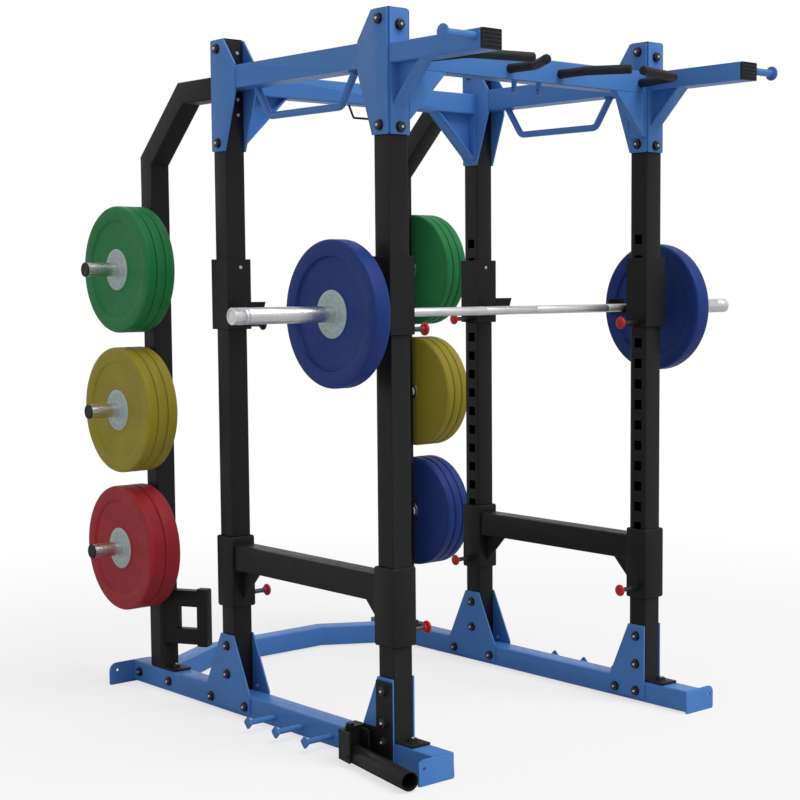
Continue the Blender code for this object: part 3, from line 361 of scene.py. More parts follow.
MADE_AGAIN = (
    "bar_", "stored_", "j_hook_pin", "spotter_pin", "hoop", "pull_up_grip", "landmine_tube",
    "cross_beam_loop",
)
carried = [name for name in nodes if not name.startswith(MADE_AGAIN) or name == "bar_holder"]
for name in carried:
    dress(nodes[name])
print("carried over", len(carried), "made again", len(nodes) - len(carried))

# %% [markdown]
# Square tube is rolled, so its four long corners are round by about 5 mm, while a cut
# plate is nearly sharp. A live Bevel can't tell the two apart. Each solid with tube in it
# is copied and its triangles are joined. Then only the outer edges with a wide flat area
# on both sides are bevelled wide, and the other edges get the small round.

# %% Tubes with round corners
TUBE_ROUND = 0.0055
WIDE_FACE = 0.03
# How far the plain end of each arm is drawn back, to leave room for the ribbed cap
ARM_CAP_ROOM = 0.004
TUBED = (
    "upright_", "base_rail", "rear_cross", "pull_up_beam", "front_arm", "side_beam", "spotter_beam",
    "bar_holder",
)


def flat_areas(copy):
    """Gives each face the corners of the whole flat area that it is part of."""
    bm = bmesh.from_edit_mesh(copy.data)
    bm.faces.index_update()
    areas = {}
    for first in bm.faces:
        if first.index in areas:
            continue
        areas[first.index] = corners = set()
        queue = [first]
        while queue:
            for edge in queue.pop().edges:
                corners.update(v.co.to_tuple(5) for v in edge.verts)
                if edge.calc_face_angle(math.pi) < 0.01:
                    beside = [f for f in edge.link_faces if f.index not in areas]
                    areas.update((f.index, corners) for f in beside)
                    queue += beside
    return areas


def is_tube_corner(edge, areas):
    """An outer edge with a flat area wider than a plate is thick on each side."""
    if len(edge.link_faces) != 2 or not edge.is_convex or edge.calc_length() < 0.004:
        return False
    if abs(edge.calc_face_angle() - math.pi / 2) > 0.2:
        return False
    start = edge.verts[0].co
    along = (edge.verts[1].co - start).normalized()
    width = lambda face: max((Vector(c) - start).cross(along).length for c in areas[face.index])
    return all(width(face) > WIDE_FACE for face in edge.link_faces)


def merged_copy(node, name):
    """A copy of a solid's mesh with its loose triangles joined, in edit mode."""
    copy = own_copy(nodes[node], name)
    copy.modifiers.clear()
    pick(copy)
    bpy.ops.object.mode_set(mode="EDIT")
    bpy.ops.mesh.select_all(action="SELECT")
    bpy.ops.mesh.remove_doubles(threshold=WELD)
    return copy


def round_corners(copy):
    """Bevels the tube corners wide and gives the rest a small live bevel."""
    areas = flat_areas(copy)
    found = select_edges(copy, lambda edge: is_tube_corner(edge, areas))
    if found:
        bpy.ops.mesh.bevel(offset=TUBE_ROUND, segments=4, affect="EDGES")
    bpy.ops.object.mode_set(mode="OBJECT")
    live_bevel(copy, 30)
    return found


for node in [name for name in carried if name.startswith(TUBED)]:
    paint = nodes[node].data.materials[0]
    slot = next(key for key in PAINTS if PAINTS[key] == paint)
    copy = merged_copy(node, "{}_{}".format(node, slot.split("_")[0]))
    if node.startswith("front_arm"):
        select_faces(copy, lambda face: face.calc_center_median().y < ARM_TIP + 0.001)
        bpy.ops.transform.translate(value=(0, ARM_CAP_ROOM, 0))
    print(node, "corners", round_corners(copy))
    finish(copy, paint, node if node.startswith("spotter") else "frame", (node,))

# %% [markdown]
# The plates are moulded rubber. The rubber is dull, with a fine grain, and the mould
# leaves faint rings round the middle. The rings need the distance from the plate's own
# middle, so a Mapping node moves the origin there and the sideways axis is dropped.

# %% Rubber for the plates
MOULD_RING = 0.0034


def plate_rubber(name, colour, centre):
    rubber = Finish(name, roughness=0.50, Specular_IOR_Level=0.20)
    flat = rubber.moved(location=(0.0, -centre[0], -centre[1]), scale=(0.0, 1.0, 1.0))
    reach = rubber.add("ShaderNodeVectorMath", operation="LENGTH")
    rubber.plug(reach.inputs[0], flat)
    radius = reach.outputs["Value"]
    rings = rubber.sum("SINE", rubber.sum("MULTIPLY", radius, 2 * math.pi / MOULD_RING))
    base = rubber.mix(rubber.patches(9.0, 5.0), lighter(colour, 0.90), lighter(colour, 1.08))
    specks = rubber.spread(rubber.noise(420.0, 2.0), 0.62, 0.75)
    base = rubber.mix(rubber.sum("MULTIPLY", specks, 0.25), base, lighter(colour, 1.6))
    rough = rubber.patches(55.0, 4.0, 0.40, 0.56)
    grain = rubber.bump(rubber.noise(700.0, 3.0), 0.00025, 0.35)
    moulded = rubber.bump(rings, 0.00008, 0.20, grain)
    return rubber.wear(Base_Color=base, Roughness=rough, Normal=moulded)


GREEN = (0.013, 0.186, 0.0515, 1.0)
YELLOW = (0.310, 0.255, 0.020, 1.0)
RED = (0.335, 0.019, 0.026, 1.0)
PLATE_BLUE = (0.011, 0.036, 0.195, 1.0)

# %% [markdown]
# A bumper plate has a thick rounded rim, a step down to a flat dish, and a low boss round
# the steel hub. It is turned on one axis, so a cylinder is a good start: its two end
# faces are inset again and again, each time by a little width and depth, and each inset
# is one ring of the face. A profile could be spun instead, but insets act on both faces
# at once and keep them the same.

# %% One bumper plate
PLATE_RADIUS = 0.225
BORE_RADIUS = 0.0257
RIM_ROUND = 0.009
RING_SIDES = 128
STACK_DISH, BAR_DISH = 0.0050, 0.0095


def face_rings(dish):
    """Width and depth of each ring from the rim to the hub."""
    return (
        (0.0390, 0.0), (0.0016, -0.0006), (0.0040, -dish), (0.0022, -0.0004),
        (0.0870, 0.0), (0.0024, 0.0018), (0.0040, 0.0), (0.0020, -0.0012),
    )


def bumper_plate(name, inner_x, outer_x, centre, rings):
    """A plate between two places on X, turned about (y, z)."""
    plate = x_cylinder(name, RING_SIDES, PLATE_RADIUS, inner_x, outer_x, centre)
    round_rims(plate, RIM_ROUND, 5)
    select_faces(plate, lambda face: len(face.verts) == RING_SIDES)
    taken = RIM_ROUND + sum(width for width, depth in rings)
    inset_steps(*rings, (PLATE_RADIUS - taken - BORE_RADIUS, 0.0), each=True)
    bpy.ops.mesh.delete(type="ONLY_FACE")
    near = lambda v: math.hypot(v.co.y - centre[0], v.co.z - centre[1]) < BORE_RADIUS * 1.1
    select_edges(plate, lambda edge: all(near(v) for v in edge.verts))
    bpy.ops.mesh.bridge_edge_loops()
    bpy.ops.mesh.select_all(action="SELECT")
    bpy.ops.mesh.normals_make_consistent(inside=False)
    return plate


# %% [markdown]
# The hub is a pale steel disc let into the rubber, with a ring of small rivets round it
# and a raised collar at the bore. It is the brightest spot on each plate. The disc is
# another cylinder with insets; one rivet is modelled and copied round.

# %% Hub disc and rivets
HUB_RADIUS = 0.0735
HUB_THICK = 0.0032
HUB_SIDES = 96
# Width and depth of each step from the disc's rim to the collar
HUB_STEPS = ((0.0012, 0.0008), (0.0320, 0.0), (0.0010, -0.0006), (0.0040, 0.0), (0.0012, 0.0018))
RIVETS = 18
RIVET_RING = 0.0590
RIVET_RADIUS, RIVET = 0.0028, 0.0016

hub_steel = small_part_finish(
    "hub_steel", ((0.36, 0.45, 0.44, 1.0), (0.42, 0.51, 0.50, 1.0)),
    ((60.0, 4.0), (240.0, 3.0), (900.0, 2.0)), (0.36, 0.50), (0.00012, 0.35),
    roughness=0.48, metallic=0.25, Specular_IOR_Level=0.35,
)


def hub_disc(name, face_x, out, centre):
    """A disc whose outer face is at face_x, looking along out."""
    disc = x_cylinder(name, HUB_SIDES, HUB_RADIUS, face_x - out * HUB_THICK, face_x, centre)
    select_faces(disc, lambda face: face.normal.x * out > 0.9)
    inset_steps(*HUB_STEPS, each=True)
    select_faces(disc, lambda face: len(face.verts) == HUB_SIDES)
    inset_steps((0.0010, 0.0), each=True)
    return disc


def rivet_ring(name, face_x, out, centre):
    """One rivet is shaped, then copied round the hub in one mesh."""
    place = (centre[0] + RIVET_RING, centre[1])
    ring = x_cylinder(name, 10, RIVET_RADIUS, face_x, face_x + out * RIVET, place)
    select_faces(ring, lambda face: face.normal.x * out > 0.9)
    inset_steps((0.0010, 0.0005), each=True)
    bpy.ops.mesh.select_all(action="SELECT")
    bpy.ops.mesh.spin(
        steps=RIVETS, angle=2 * math.pi, dupli=True, center=(face_x, *centre), axis=(1, 0, 0)
    )
    bpy.ops.mesh.select_all(action="SELECT")
    bpy.ops.mesh.remove_doubles(threshold=0.00005)
    return ring


# %% [markdown]
# The two plates on the barbell are the thick blue ones, 60 mm wide. Each rides on its own
# body, because it can slide off its sleeve.

# %% Plates on the barbell
bar_centre = (BAR_Y, BAR_Z)
bar_rubber = plate_rubber("blue_plate_rubber", PLATE_BLUE, bar_centre)
HUB_SINK = 0.0016


def whole_plate(name, inner_x, outer_x, centre, rubber, node, slot, dish):
    """A plate with its hub, on the body that has the node's name."""
    out = 1 if outer_x > 0 else -1
    rings = face_rings(dish)
    plate = bumper_plate(name, inner_x, outer_x, centre, rings)
    finish(plate, rubber, node, (node,))
    face = outer_x + out * (sum(depth for width, depth in rings) + HUB_SINK)
    finish(hub_disc(name + "_hub", face, out, centre), hub_steel, node)
    raised = face + out * HUB_STEPS[0][1]
    finish(rivet_ring(name + "_rivets", raised, out, centre), hub_steel, node)
    return plate


def across(node, sign):
    """The node's inner and outer place on X."""
    low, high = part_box(node)
    return (low.x, high.x) if sign > 0 else (high.x, low.x)


for side, sign in SIDES:
    node = "bar_plate_" + side
    plate = whole_plate(
        "bumper_plate_" + side, *across(node, sign), bar_centre, bar_rubber, node, "blue_rubber", BAR_DISH
    )
    print(plate.name, "faces", len(plate.data.polygons))

# %% [markdown]
# The stored plates stand two or three to a peg, with their rims touching. Each stack is
# one CAD node and one body, so its plates are separate pieces here that ride together.
# The rounded rims give the grooves between them. Only the outermost shows its face.

# %% Stored plates
STACKS = {
    "left": ((3, "green_rubber"), (3, "yellow_rubber"), (2, "red_rubber")),
    "right": ((3, "green_rubber"), (3, "yellow_rubber"), (3, "blue_rubber")),
}
COLOURS = {"green_rubber": GREEN, "yellow_rubber": YELLOW, "red_rubber": RED, "blue_rubber": PLATE_BLUE}
LEVELS = ("top", "middle", "low")
stack_rubber = {}
for side, sign in SIDES:
    for level, (count, slot) in zip(LEVELS, STACKS[side]):
        node = "stored_plates_{}_{}".format(side, level)
        low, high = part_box(node)
        centre = (STORAGE_Y, (low.z + high.z) / 2)
        if slot not in stack_rubber:
            stack_rubber[slot] = plate_rubber("stored_" + slot, COLOURS[slot], centre)
        near, far = across(node, sign)
        each = (far - near) / count
        rubber = stack_rubber[slot]
        for k in range(count):
            name = "{}_{}".format(node, k + 1)
            start = near + each * k
            if k == count - 1:
                whole_plate(name, start, start + each, centre, rubber, node, slot, STACK_DISH)
            else:
                plate = bumper_plate(name, start, start + each, centre, ((0.04, 0.0),))
                finish(plate, rubber, node)
print("stored plates", sum(count for side in STACKS for count, slot in STACKS[side]))

# %% [markdown]
# The barbell is ground steel. The shaft has a knurled grip, a pattern of small pyramids
# that two crossed sets of grooves leave, with smooth bands between. Cutting tens of
# thousands of pyramids is far too heavy, so two waves that run round the shaft at
# opposite slants drive a bump. The angle round the bar comes from an arctangent of the
# two cross directions.

# %% Bar steel, plain and knurled
BAR_RADIUS = 0.014
KNURL = 0.0016
KNURLED_BANDS = ((0.115, 0.452), (0.462, 0.640))


def bar_finish(name, knurled):
    steel = Finish(name, roughness=0.30, metallic=1.0)
    base = steel.mix(steel.patches(16.0, 4.0), (0.66, 0.66, 0.67, 1.0), (0.76, 0.76, 0.765, 1.0))
    rough = steel.patches(120.0, 4.0, 0.26, 0.36)
    lathe = steel.noise(1.0, 2.0, where=steel.moved(scale=(1400.0, 6.0, 6.0)))
    turned = steel.bump(lathe, 0.00003, 0.15)
    if not knurled:
        return steel.wear(Base_Color=base, Roughness=rough, Normal=turned)
    x, y, z = steel.axes(steel.moved(location=(0.0, -BAR_Y, -BAR_Z)))
    angle = steel.sum("MULTIPLY", steel.sum("ARCTAN2", z, y), BAR_RADIUS)
    waves = []
    for slant in (1.0, -1.0):
        along = steel.sum("ADD", steel.sum("MULTIPLY", x, slant), angle)
        waves.append(steel.sum("SINE", steel.sum("MULTIPLY", along, 2 * math.pi / KNURL)))
    pyramids = steel.sum("MINIMUM", *waves)
    reach = steel.sum("ABSOLUTE", x)
    bands = []
    for start, end in KNURLED_BANDS:
        past_start = steel.sum("GREATER_THAN", reach, start)
        bands.append(steel.sum("MULTIPLY", past_start, steel.sum("LESS_THAN", reach, end)))
    mask = steel.sum("ADD", *bands)
    cut = steel.bump(steel.sum("MULTIPLY", pyramids, mask), 0.00012, 0.20, turned)
    rough = steel.sum("ADD", rough, steel.sum("MULTIPLY", mask, 0.10))
    return steel.wear(Base_Color=base, Roughness=rough, Normal=cut)


shaft_steel = bar_finish("knurled_bar_steel", True)
sleeve_steel = bar_finish("sleeve_steel", False)

# %% [markdown]
# The shaft is a plain cylinder on the real bar as well. It gets a cut at each end of the
# knurled bands, where the lathe leaves a shallow groove: an edge ring is bisected in on
# each side of the groove, and the ring of faces between is scaled in.

# %% Barbell shaft
GROOVES = (0.115, 0.457)


def ring_groove(obj, x, width, depth, radius):
    """A shallow groove round the bar or its sleeve."""
    bpy.ops.object.mode_set(mode="EDIT")
    for edge in (x - width / 2, x, x + width / 2):
        bpy.ops.mesh.select_all(action="SELECT")
        bpy.ops.mesh.bisect(plane_co=(edge, 0, 0), plane_no=(1, 0, 0))
    select_edges(obj, lambda e: all(abs(v.co.x - x) < width * 0.1 for v in e.verts))
    shrink = 1 - depth / radius
    bpy.ops.transform.resize(value=(1, shrink, shrink), center_override=(x, BAR_Y, BAR_Z))


shaft = x_cylinder("barbell_shaft", 48, BAR_RADIUS, bar_low.x, bar_high.x, bar_centre)
for x in GROOVES:
    for sign in (-1, 1):
        ring_groove(shaft, sign * x, 0.006, 0.0009, BAR_RADIUS)
finish(shaft, shaft_steel, "bar_shaft", ("bar_shaft",))
print("shaft faces", len(shaft.data.polygons))

# %% [markdown]
# A sleeve is turned from one bar: the flange that plates stop at, a small step, the long
# 50 mm seat with a groove near its end, and a recessed end with a retaining ring. It
# starts as the flange's disc. The outer face is inset to the seat's size and extruded
# out, and the inner face is bored for the shaft.

# %% Barbell sleeves
SLEEVE_RADIUS = 0.025
FLANGE_RADIUS = 0.036
FLANGE = 0.014
SHOULDER = 0.655
BAR_END = 1.100
SLEEVE_EDGE = 0.0015
STEP = 0.002
END_WALL = 0.012
END_GROOVES = (0.040, 0.052)
# Width and depth of the steps of the sleeve's recessed end
SLEEVE_END = ((0.0030, 0.0), (0.0004, -0.0030), (0.0060, 0.0), (0.0010, 0.0012), (0.0040, 0.0003))


def bar_sleeve(side, sign):
    ends = sign * SHOULDER, sign * (SHOULDER + FLANGE)
    sleeve = x_cylinder("barbell_sleeve_" + side, 64, FLANGE_RADIUS, *ends, bar_centre)
    round_rims(sleeve, SLEEVE_EDGE, 3)
    flat = FLANGE_RADIUS - SLEEVE_EDGE
    select_faces(sleeve, lambda face: face.normal.x * sign > 0.99)
    inset_steps((flat - SLEEVE_RADIUS - STEP, 0.0), (STEP, SLEEVE_EDGE))
    seat = BAR_END - SHOULDER - FLANGE - 2 * SLEEVE_EDGE
    bpy.ops.mesh.extrude_region_move(TRANSFORM_OT_translate={"value": (sign * seat, 0, 0)})
    inset_steps((SLEEVE_EDGE, SLEEVE_EDGE), *SLEEVE_END)
    select_faces(sleeve, lambda face: face.normal.x * sign < -0.99)
    inset_steps((flat - BAR_RADIUS - GAP, 0.0))
    bore = BAR_END - SHOULDER - END_WALL
    bpy.ops.mesh.extrude_region_move(TRANSFORM_OT_translate={"value": (sign * bore, 0, 0)})
    for near_end in END_GROOVES:
        ring_groove(sleeve, sign * (BAR_END - near_end), 0.0036, 0.0008, SLEEVE_RADIUS)
    node = "bar_sleeve_" + side
    return finish(sleeve, sleeve_steel, node, (node,))


for side, sign in SIDES:
    sleeve = bar_sleeve(side, sign)
    print(sleeve.name, "faces", len(sleeve.data.polygons))

# %% [markdown]
# A locking pin has a steel stem and a moulded red knob. The knob is shaped like a
# mushroom, to be pulled with two fingers. It starts as its neck; the end face is extruded
# and scaled step by step, so the knob's outline is the list of steps.

# %% Pins and knobs
def knob_finish(name, colour):
    return small_part_finish(
        name, (lighter(colour, 0.9), lighter(colour, 1.1)),
        ((90.0, 3.0), (300.0, 3.0), (1200.0, 2.0)), (0.26, 0.40), (0.0001, 0.3),
        roughness=0.34, Specular_IOR_Level=0.35,
    )


red_plastic = knob_finish("red_knob_plastic", (0.50, 0.013, 0.019, 1.0))
# Near-black plastic for the one red knob that sits in shade behind the bar: painted shade.
painted_shade_knob_plastic = knob_finish("black_knob_plastic", (0.012, 0.012, 0.013, 1.0))
dark_steel = small_part_finish(
    "dark_pin_steel", ((0.055, 0.056, 0.058, 1.0), (0.085, 0.086, 0.088, 1.0)),
    ((80.0, 3.0), (260.0, 3.0), (900.0, 2.0)), (0.30, 0.48), (0.0001, 0.3),
    roughness=0.38, metallic=0.7,
)
# The rear left hook's knob is red like the others; it is drawn near black as painted shade.
PAINTED_SHADE_KNOB = "j_hook_pin_rear_left"
PIN_RADIUS = 0.008
KNOB_LENGTH = 0.0215
NECK_RADIUS, NECK = 0.0105, 0.0065
KNOB_SIDES = 32
# How much narrower the knob's face gets and how far it moves out, step by step
KNOB_STEPS = (
    (-0.0070, 0.0032), (-0.0030, 0.0028), (0.0, 0.0040), (0.0022, 0.0026), (0.0052, 0.0020),
    (0.0068, 0.0007),
)


def grow(obj, out, steps):
    """Moves a round end face along X, wider or narrower at each step."""
    for inward, run in steps:
        bpy.ops.mesh.extrude_region_move(TRANSFORM_OT_translate={"value": (out * run, 0, 0)})
        bm = bmesh.from_edit_mesh(obj.data)
        face = next(f for f in bm.faces if f.select)
        centre = face.calc_center_median()
        radius = (face.verts[0].co - centre).length
        size = (radius - inward) / radius
        bpy.ops.transform.resize(value=(1, size, size), center_override=tuple(centre))


def locking_pin(node):
    low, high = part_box(node)
    sign = 1 if low.x > 0 else -1
    middle = ((low.y + high.y) / 2, (low.z + high.z) / 2)
    knob_end, tip = across(node, sign)
    shoulder = knob_end + sign * KNOB_LENGTH
    stem = x_cylinder(node.replace("pin", "pin_stem"), 24, PIN_RADIUS, shoulder, tip, middle)
    round_rims(stem, 0.002, 2, lambda edge: edge.verts[0].co.x * sign > abs(tip) - 0.001)
    finish(stem, dark_steel, node)
    neck = shoulder - sign * NECK
    knob = x_cylinder(
        node.replace("pin", "pin_knob"), KNOB_SIDES, NECK_RADIUS, neck, shoulder, middle
    )
    round_rims(knob, 0.0012, 2, lambda edge: edge.verts[0].co.x * sign > abs(shoulder) - 0.001)
    select_faces(knob, lambda face: face.normal.x * sign < -0.99 and len(face.verts) == KNOB_SIDES)
    grow(knob, -sign, KNOB_STEPS)
    # Painted shade: the shaded knob gets the near-black plastic instead of red.
    plastic, slot = (painted_shade_knob_plastic, "black_paint") if node == PAINTED_SHADE_KNOB else (red_plastic, "red_knob")
    return finish(knob, plastic, node, (node,), angle=math.radians(50))


pins = [name for name in nodes if "_pin_" in name]
for name in pins:
    locking_pin(name)
print("pins", len(pins))

# %% [markdown]
# The handles and grips are round bar bent to an angle. A curve with a bevel would do, but
# here the bar grows as a bender makes it: a circle is extruded straight, spun about the
# inside of the bend, and extruded again. The bend's middle lies on the line that halves
# the corner.

# %% Bent round bar
def bent_bar(name, radius, points, bend, sides=24, steps=7):
    points = [Vector(p) for p in points]
    ahead = (points[1] - points[0]).normalized()
    turn = ahead.to_track_quat("Z", "Y").to_euler()
    bar = primitive(name, "circle", vertices=sides, radius=radius, location=points[0], rotation=turn)
    bpy.ops.object.mode_set(mode="EDIT")
    bpy.ops.mesh.select_mode(type="EDGE")
    bpy.ops.mesh.select_all(action="SELECT")
    at = points[0]
    for before, corner, after in zip(points, points[1:], points[2:]):
        back = (before - corner).normalized()
        on = (after - corner).normalized()
        half = back.angle(on) / 2
        start = corner + back * bend / math.tan(half)
        centre = corner + (back + on).normalized() * bend / math.sin(half)
        bpy.ops.mesh.extrude_region_move(TRANSFORM_OT_translate={"value": start - at})
        bpy.ops.mesh.spin(
            steps=steps, angle=math.pi - 2 * half, center=centre, axis=on.cross(-back).normalized()
        )
        at = corner + on * bend / math.tan(half)
    bpy.ops.mesh.extrude_region_move(TRANSFORM_OT_translate={"value": points[-1] - at})
    bpy.ops.mesh.select_all(action="SELECT")
    bpy.ops.mesh.remove_doubles(threshold=WELD)
    bpy.ops.mesh.select_all(action="DESELECT")
    bpy.ops.mesh.select_non_manifold()
    bpy.ops.mesh.fill_holes(sides=0)
    bpy.ops.mesh.select_all(action="SELECT")
    bpy.ops.mesh.normals_make_consistent(inside=False)
    return bar


# %% [markdown]
# The hoop handles hang under the side beams, each on two round pads welded to the beam.
# The pads are short discs with a bevelled edge.

# %% Hoop handles
HOOP_LOW = 2.042
HOOP_RADIUS, HOOP_BEND = 0.012, 0.030
HOOP_TOPS, HOOP_BOTTOMS = (-0.389, 0.136), (-0.319, 0.066)
PAD_RADIUS, PAD_THICK = 0.021, 0.004
for side, sign in SIDES:
    node = "hoop_handle_" + side
    low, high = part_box(node)
    x = sign * HALF_SPAN
    top = high.z - PAD_THICK / 2
    turns = ((HOOP_TOPS[0], top), *((y, HOOP_LOW) for y in HOOP_BOTTOMS), (HOOP_TOPS[1], top))
    hoop = bent_bar("hoop_" + side, HOOP_RADIUS, [(x, y, z) for y, z in turns], HOOP_BEND)
    finish(hoop, blue_coat, "frame", (node,), angle=math.radians(50))
    for end, y in zip(("front", "rear"), HOOP_TOPS):
        pad = primitive(
            "hoop_pad_{}_{}".format(side, end), "cylinder", vertices=32, radius=PAD_RADIUS,
            depth=PAD_THICK, location=(x, y, top),
        )
        round_rims(pad, 0.001, 2)
        finish(pad, blue_coat, "frame")
    print(hoop.name, "faces", len(hoop.data.polygons), "solid's low", round(low.z, 4))

# %% [markdown]
# A thin black loop hangs under the middle of the rear cross beam. Its solid's top is the
# beam's underside, so its height comes from there.

# %% Loop under the rear cross beam
LOOP_TOP, LOOP_LOW, LOOP_DROP = 0.055, 0.034, 0.0447
loop_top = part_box("cross_beam_loop")[1].z
legs = [(-LOOP_TOP, 0.0), (-LOOP_LOW, LOOP_DROP), (LOOP_LOW, LOOP_DROP), (LOOP_TOP, 0.0)]
route = [(x, REAR_Y, loop_top - drop) for x, drop in legs]
loop = bent_bar("cross_beam_rod", 0.004, route, 0.008, sides=16)
finish(loop, black_coat, "frame", ("cross_beam_loop",), angle=math.radians(50))
print("loop faces", len(loop.data.polygons))

# %% [markdown]
# The pull-up grips are the same bent bar in a black rubber sleeve. The rubber has a fine
# pebble that shows as a soft, broken shine.

# %% Pull-up grips
def grip_rubber_finish():
    rubber = Finish("grip_rubber", roughness=0.55, Specular_IOR_Level=0.25)
    base = rubber.mix(rubber.patches(30.0, 4.0), (0.010, 0.011, 0.012, 1.0), (0.016, 0.017, 0.018, 1.0))
    rough = rubber.patches(150.0, 3.0, 0.48, 0.64)
    pebble = rubber.add("ShaderNodeTexVoronoi")
    rubber.plug(pebble.inputs["Vector"], rubber.place)
    pebble.inputs["Scale"].default_value = 650.0
    grain = rubber.bump(pebble.outputs["Distance"], 0.0003, 0.4)
    return rubber.wear(Base_Color=base, Roughness=rough, Normal=grain)


grip_rubber = grip_rubber_finish()
GRIP_Z = 2.169
GRIP_RADIUS = 0.015
# Root, bend and tip of each grip: share of the half span, and place on Y
GRIPS = {
    "outer": ((0.880, -0.5993), (0.807, -0.7895), (0.425, -0.8425)),
    "inner": ((0.198, -0.5993), (0.198, -0.7185), (0.3325, -0.8435)),
}
for side, sign in SIDES:
    for place, route in GRIPS.items():
        node = "pull_up_grip_{}_{}".format(place, side)
        points = [(sign * share * HALF_SPAN, y, GRIP_Z) for share, y in route]
        grip = bent_bar("grip_{}_{}".format(place, side), GRIP_RADIUS, points, 0.035)
        round_rims(grip, 0.004, 3, lambda edge: edge.verts[0].co.y < -0.8)
        finish(grip, grip_rubber, "frame", (node,), angle=math.radians(60))
        print(grip.name, "faces", len(grip.data.polygons))

# %% [markdown]
# A barbell's end goes into the landmine's tube. The tube is thick steel with an open
# front end, painted black like its bracket. A cylinder without end faces gets its wall
# from Solidify, and a bevel rounds both mouths.

# %% Landmine tube
TUBE_RADIUS, TUBE_BORE = 0.030, 0.0255
MINE_TURN = math.radians(10)
PIVOT = Vector((-0.6640, -0.4475, 0.0350))
ahead = Vector((-math.sin(MINE_TURN), -math.cos(MINE_TURN), 0.0))
tube_start, tube_end = (PIVOT + ahead * reach for reach in (0.036, 0.372))
mine_tube = primitive(
    "landmine_socket", "cylinder", vertices=48, radius=TUBE_RADIUS,
    depth=(tube_end - tube_start).length, location=(tube_start + tube_end) / 2,
    rotation=ahead.to_track_quat("Z", "Y").to_euler(), end_fill_type="NOTHING",
)
wall = mine_tube.modifiers.new("wall", "SOLIDIFY")
wall.thickness = TUBE_RADIUS - TUBE_BORE
wall.offset = -1
mouth = mine_tube.modifiers.new("mouth", "BEVEL")
mouth.width = 0.0010
mouth.segments = 2
mouth.limit_method = "ANGLE"
mouth.angle_limit = math.radians(60)
for step in ("wall", "mouth"):
    bpy.ops.object.modifier_apply(modifier=step)
finish(mine_tube, black_coat, "landmine_tube", ("landmine_tube",))
print("socket faces", len(mine_tube.data.polygons))

# %% [markdown]
# The storage pegs are plain steel tube, not painted, so that plates slide easily. The
# column that carries them is black. In the CAD they are one solid, so the column's mesh
# is copied, merged, and cut off at the face where the pegs begin, and the pegs are made
# again round. Each peg is a bright cylinder with a collar at its root and a black rubber
# cap over its end.

# %% Storage columns without their pegs
def bare_column(side, sign):
    node = "storage_upright_" + side
    column = merged_copy(node, "storage_column_" + side)
    bpy.ops.mesh.select_all(action="SELECT")
    bpy.ops.mesh.bisect(
        plane_co=(sign * (OUTER_X + 0.0001), 0, 0), plane_no=(sign, 0, 0), use_fill=True,
        clear_outer=True,
    )
    round_corners(column)
    return finish(column, black_coat, "frame", (node,))


for side, sign in SIDES:
    column = bare_column(side, sign)
    print(column.name, "faces", len(column.data.polygons))

# %% Storage pegs
PEG_HEIGHTS = (1.543, 1.041, 0.541)
PEG_END = 0.864
PEG_RADIUS = 0.025
PLUG_RADIUS, PLUG, PLUG_PROUD = 0.0254, 0.006, 0.0004
PEG_SIDES = 48
COLLAR_RADIUS = 0.038
COLLAR = (0.62385, 0.63155)


def storage_peg(side, sign, level, z):
    def disc(part, radius, inner, outer):
        name = "storage_peg_{}_{}{}".format(side, level, part)
        return x_cylinder(name, PEG_SIDES, radius, sign * inner, sign * outer, (STORAGE_Y, z))

    finish(disc("", PEG_RADIUS, OUTER_X, PEG_END - PLUG / 2), sleeve_steel, "frame")
    cap_end = PEG_END + PLUG_PROUD
    cap = disc("_plug", PLUG_RADIUS, cap_end - PLUG, cap_end)
    round_rims(cap, 0.0020, 3, lambda edge: edge.verts[0].co.x * sign > PEG_END - 0.001)
    select_faces(cap, lambda face: face.normal.x * sign > 0.99 and len(face.verts) == PEG_SIDES)
    inset_steps((0.0030, 0.0), (0.0010, -0.0012))
    finish(cap, grip_rubber, "frame")
    collar = disc("_collar", COLLAR_RADIUS, *COLLAR)
    round_rims(collar, 0.0012, 2)
    finish(collar, sleeve_steel, "frame")


for side, sign in SIDES:
    for level, z in zip(LEVELS, PEG_HEIGHTS):
        storage_peg(side, sign, level, z)
print("pegs", 2 * len(PEG_HEIGHTS))

# %% [markdown]
# Dark bolts hold the frame together. Each has a washer and a hexagon head with its
# corners turned off. One bolt is modelled at the origin, looking along Z, and every other
# is a copy of its mesh, turned to its face. A head starts as a six-sided cylinder; its
# top is inset and lifted for the chamfer and the low dome.

# %% One bolt
WASHER_RADIUS, WASHER = 0.0172, 0.0022
HEAD_RADIUS, HEAD, HEAD_RISE = 0.0158, 0.0094, 0.0012
HIGHLIGHT_DISC_RADIUS, HIGHLIGHT_DISC_HEIGHT = 0.0046, 0.0034


def bolt_finish(name, dark, light):
    return small_part_finish(
        name, (dark, light), ((120.0, 3.0), (400.0, 3.0), (1100.0, 2.0)), (0.22, 0.38), (0.0001, 0.35),
        roughness=0.30, metallic=0.75,
    )


bolt_steel = bolt_finish("dark_bolt_steel", (0.026, 0.028, 0.030, 1.0), (0.046, 0.048, 0.051, 1.0))
# Pale finish for the bolts' painted highlights.
painted_highlight_finish = bolt_finish("bright_zinc", (0.50, 0.51, 0.52, 1.0), (0.66, 0.67, 0.68, 1.0))


def small_disc(name, sides, radius, low, high, rim, segments):
    """A disc that looks along Z, with its upper rim rounded."""
    middle = (low + high) / 2
    disc = primitive(
        name, "cylinder", vertices=sides, radius=radius, depth=high - low, location=(0, 0, middle)
    )
    round_rims(disc, rim, segments, lambda edge: edge.verts[0].co.z > middle)
    bpy.ops.object.mode_set(mode="OBJECT")
    return disc


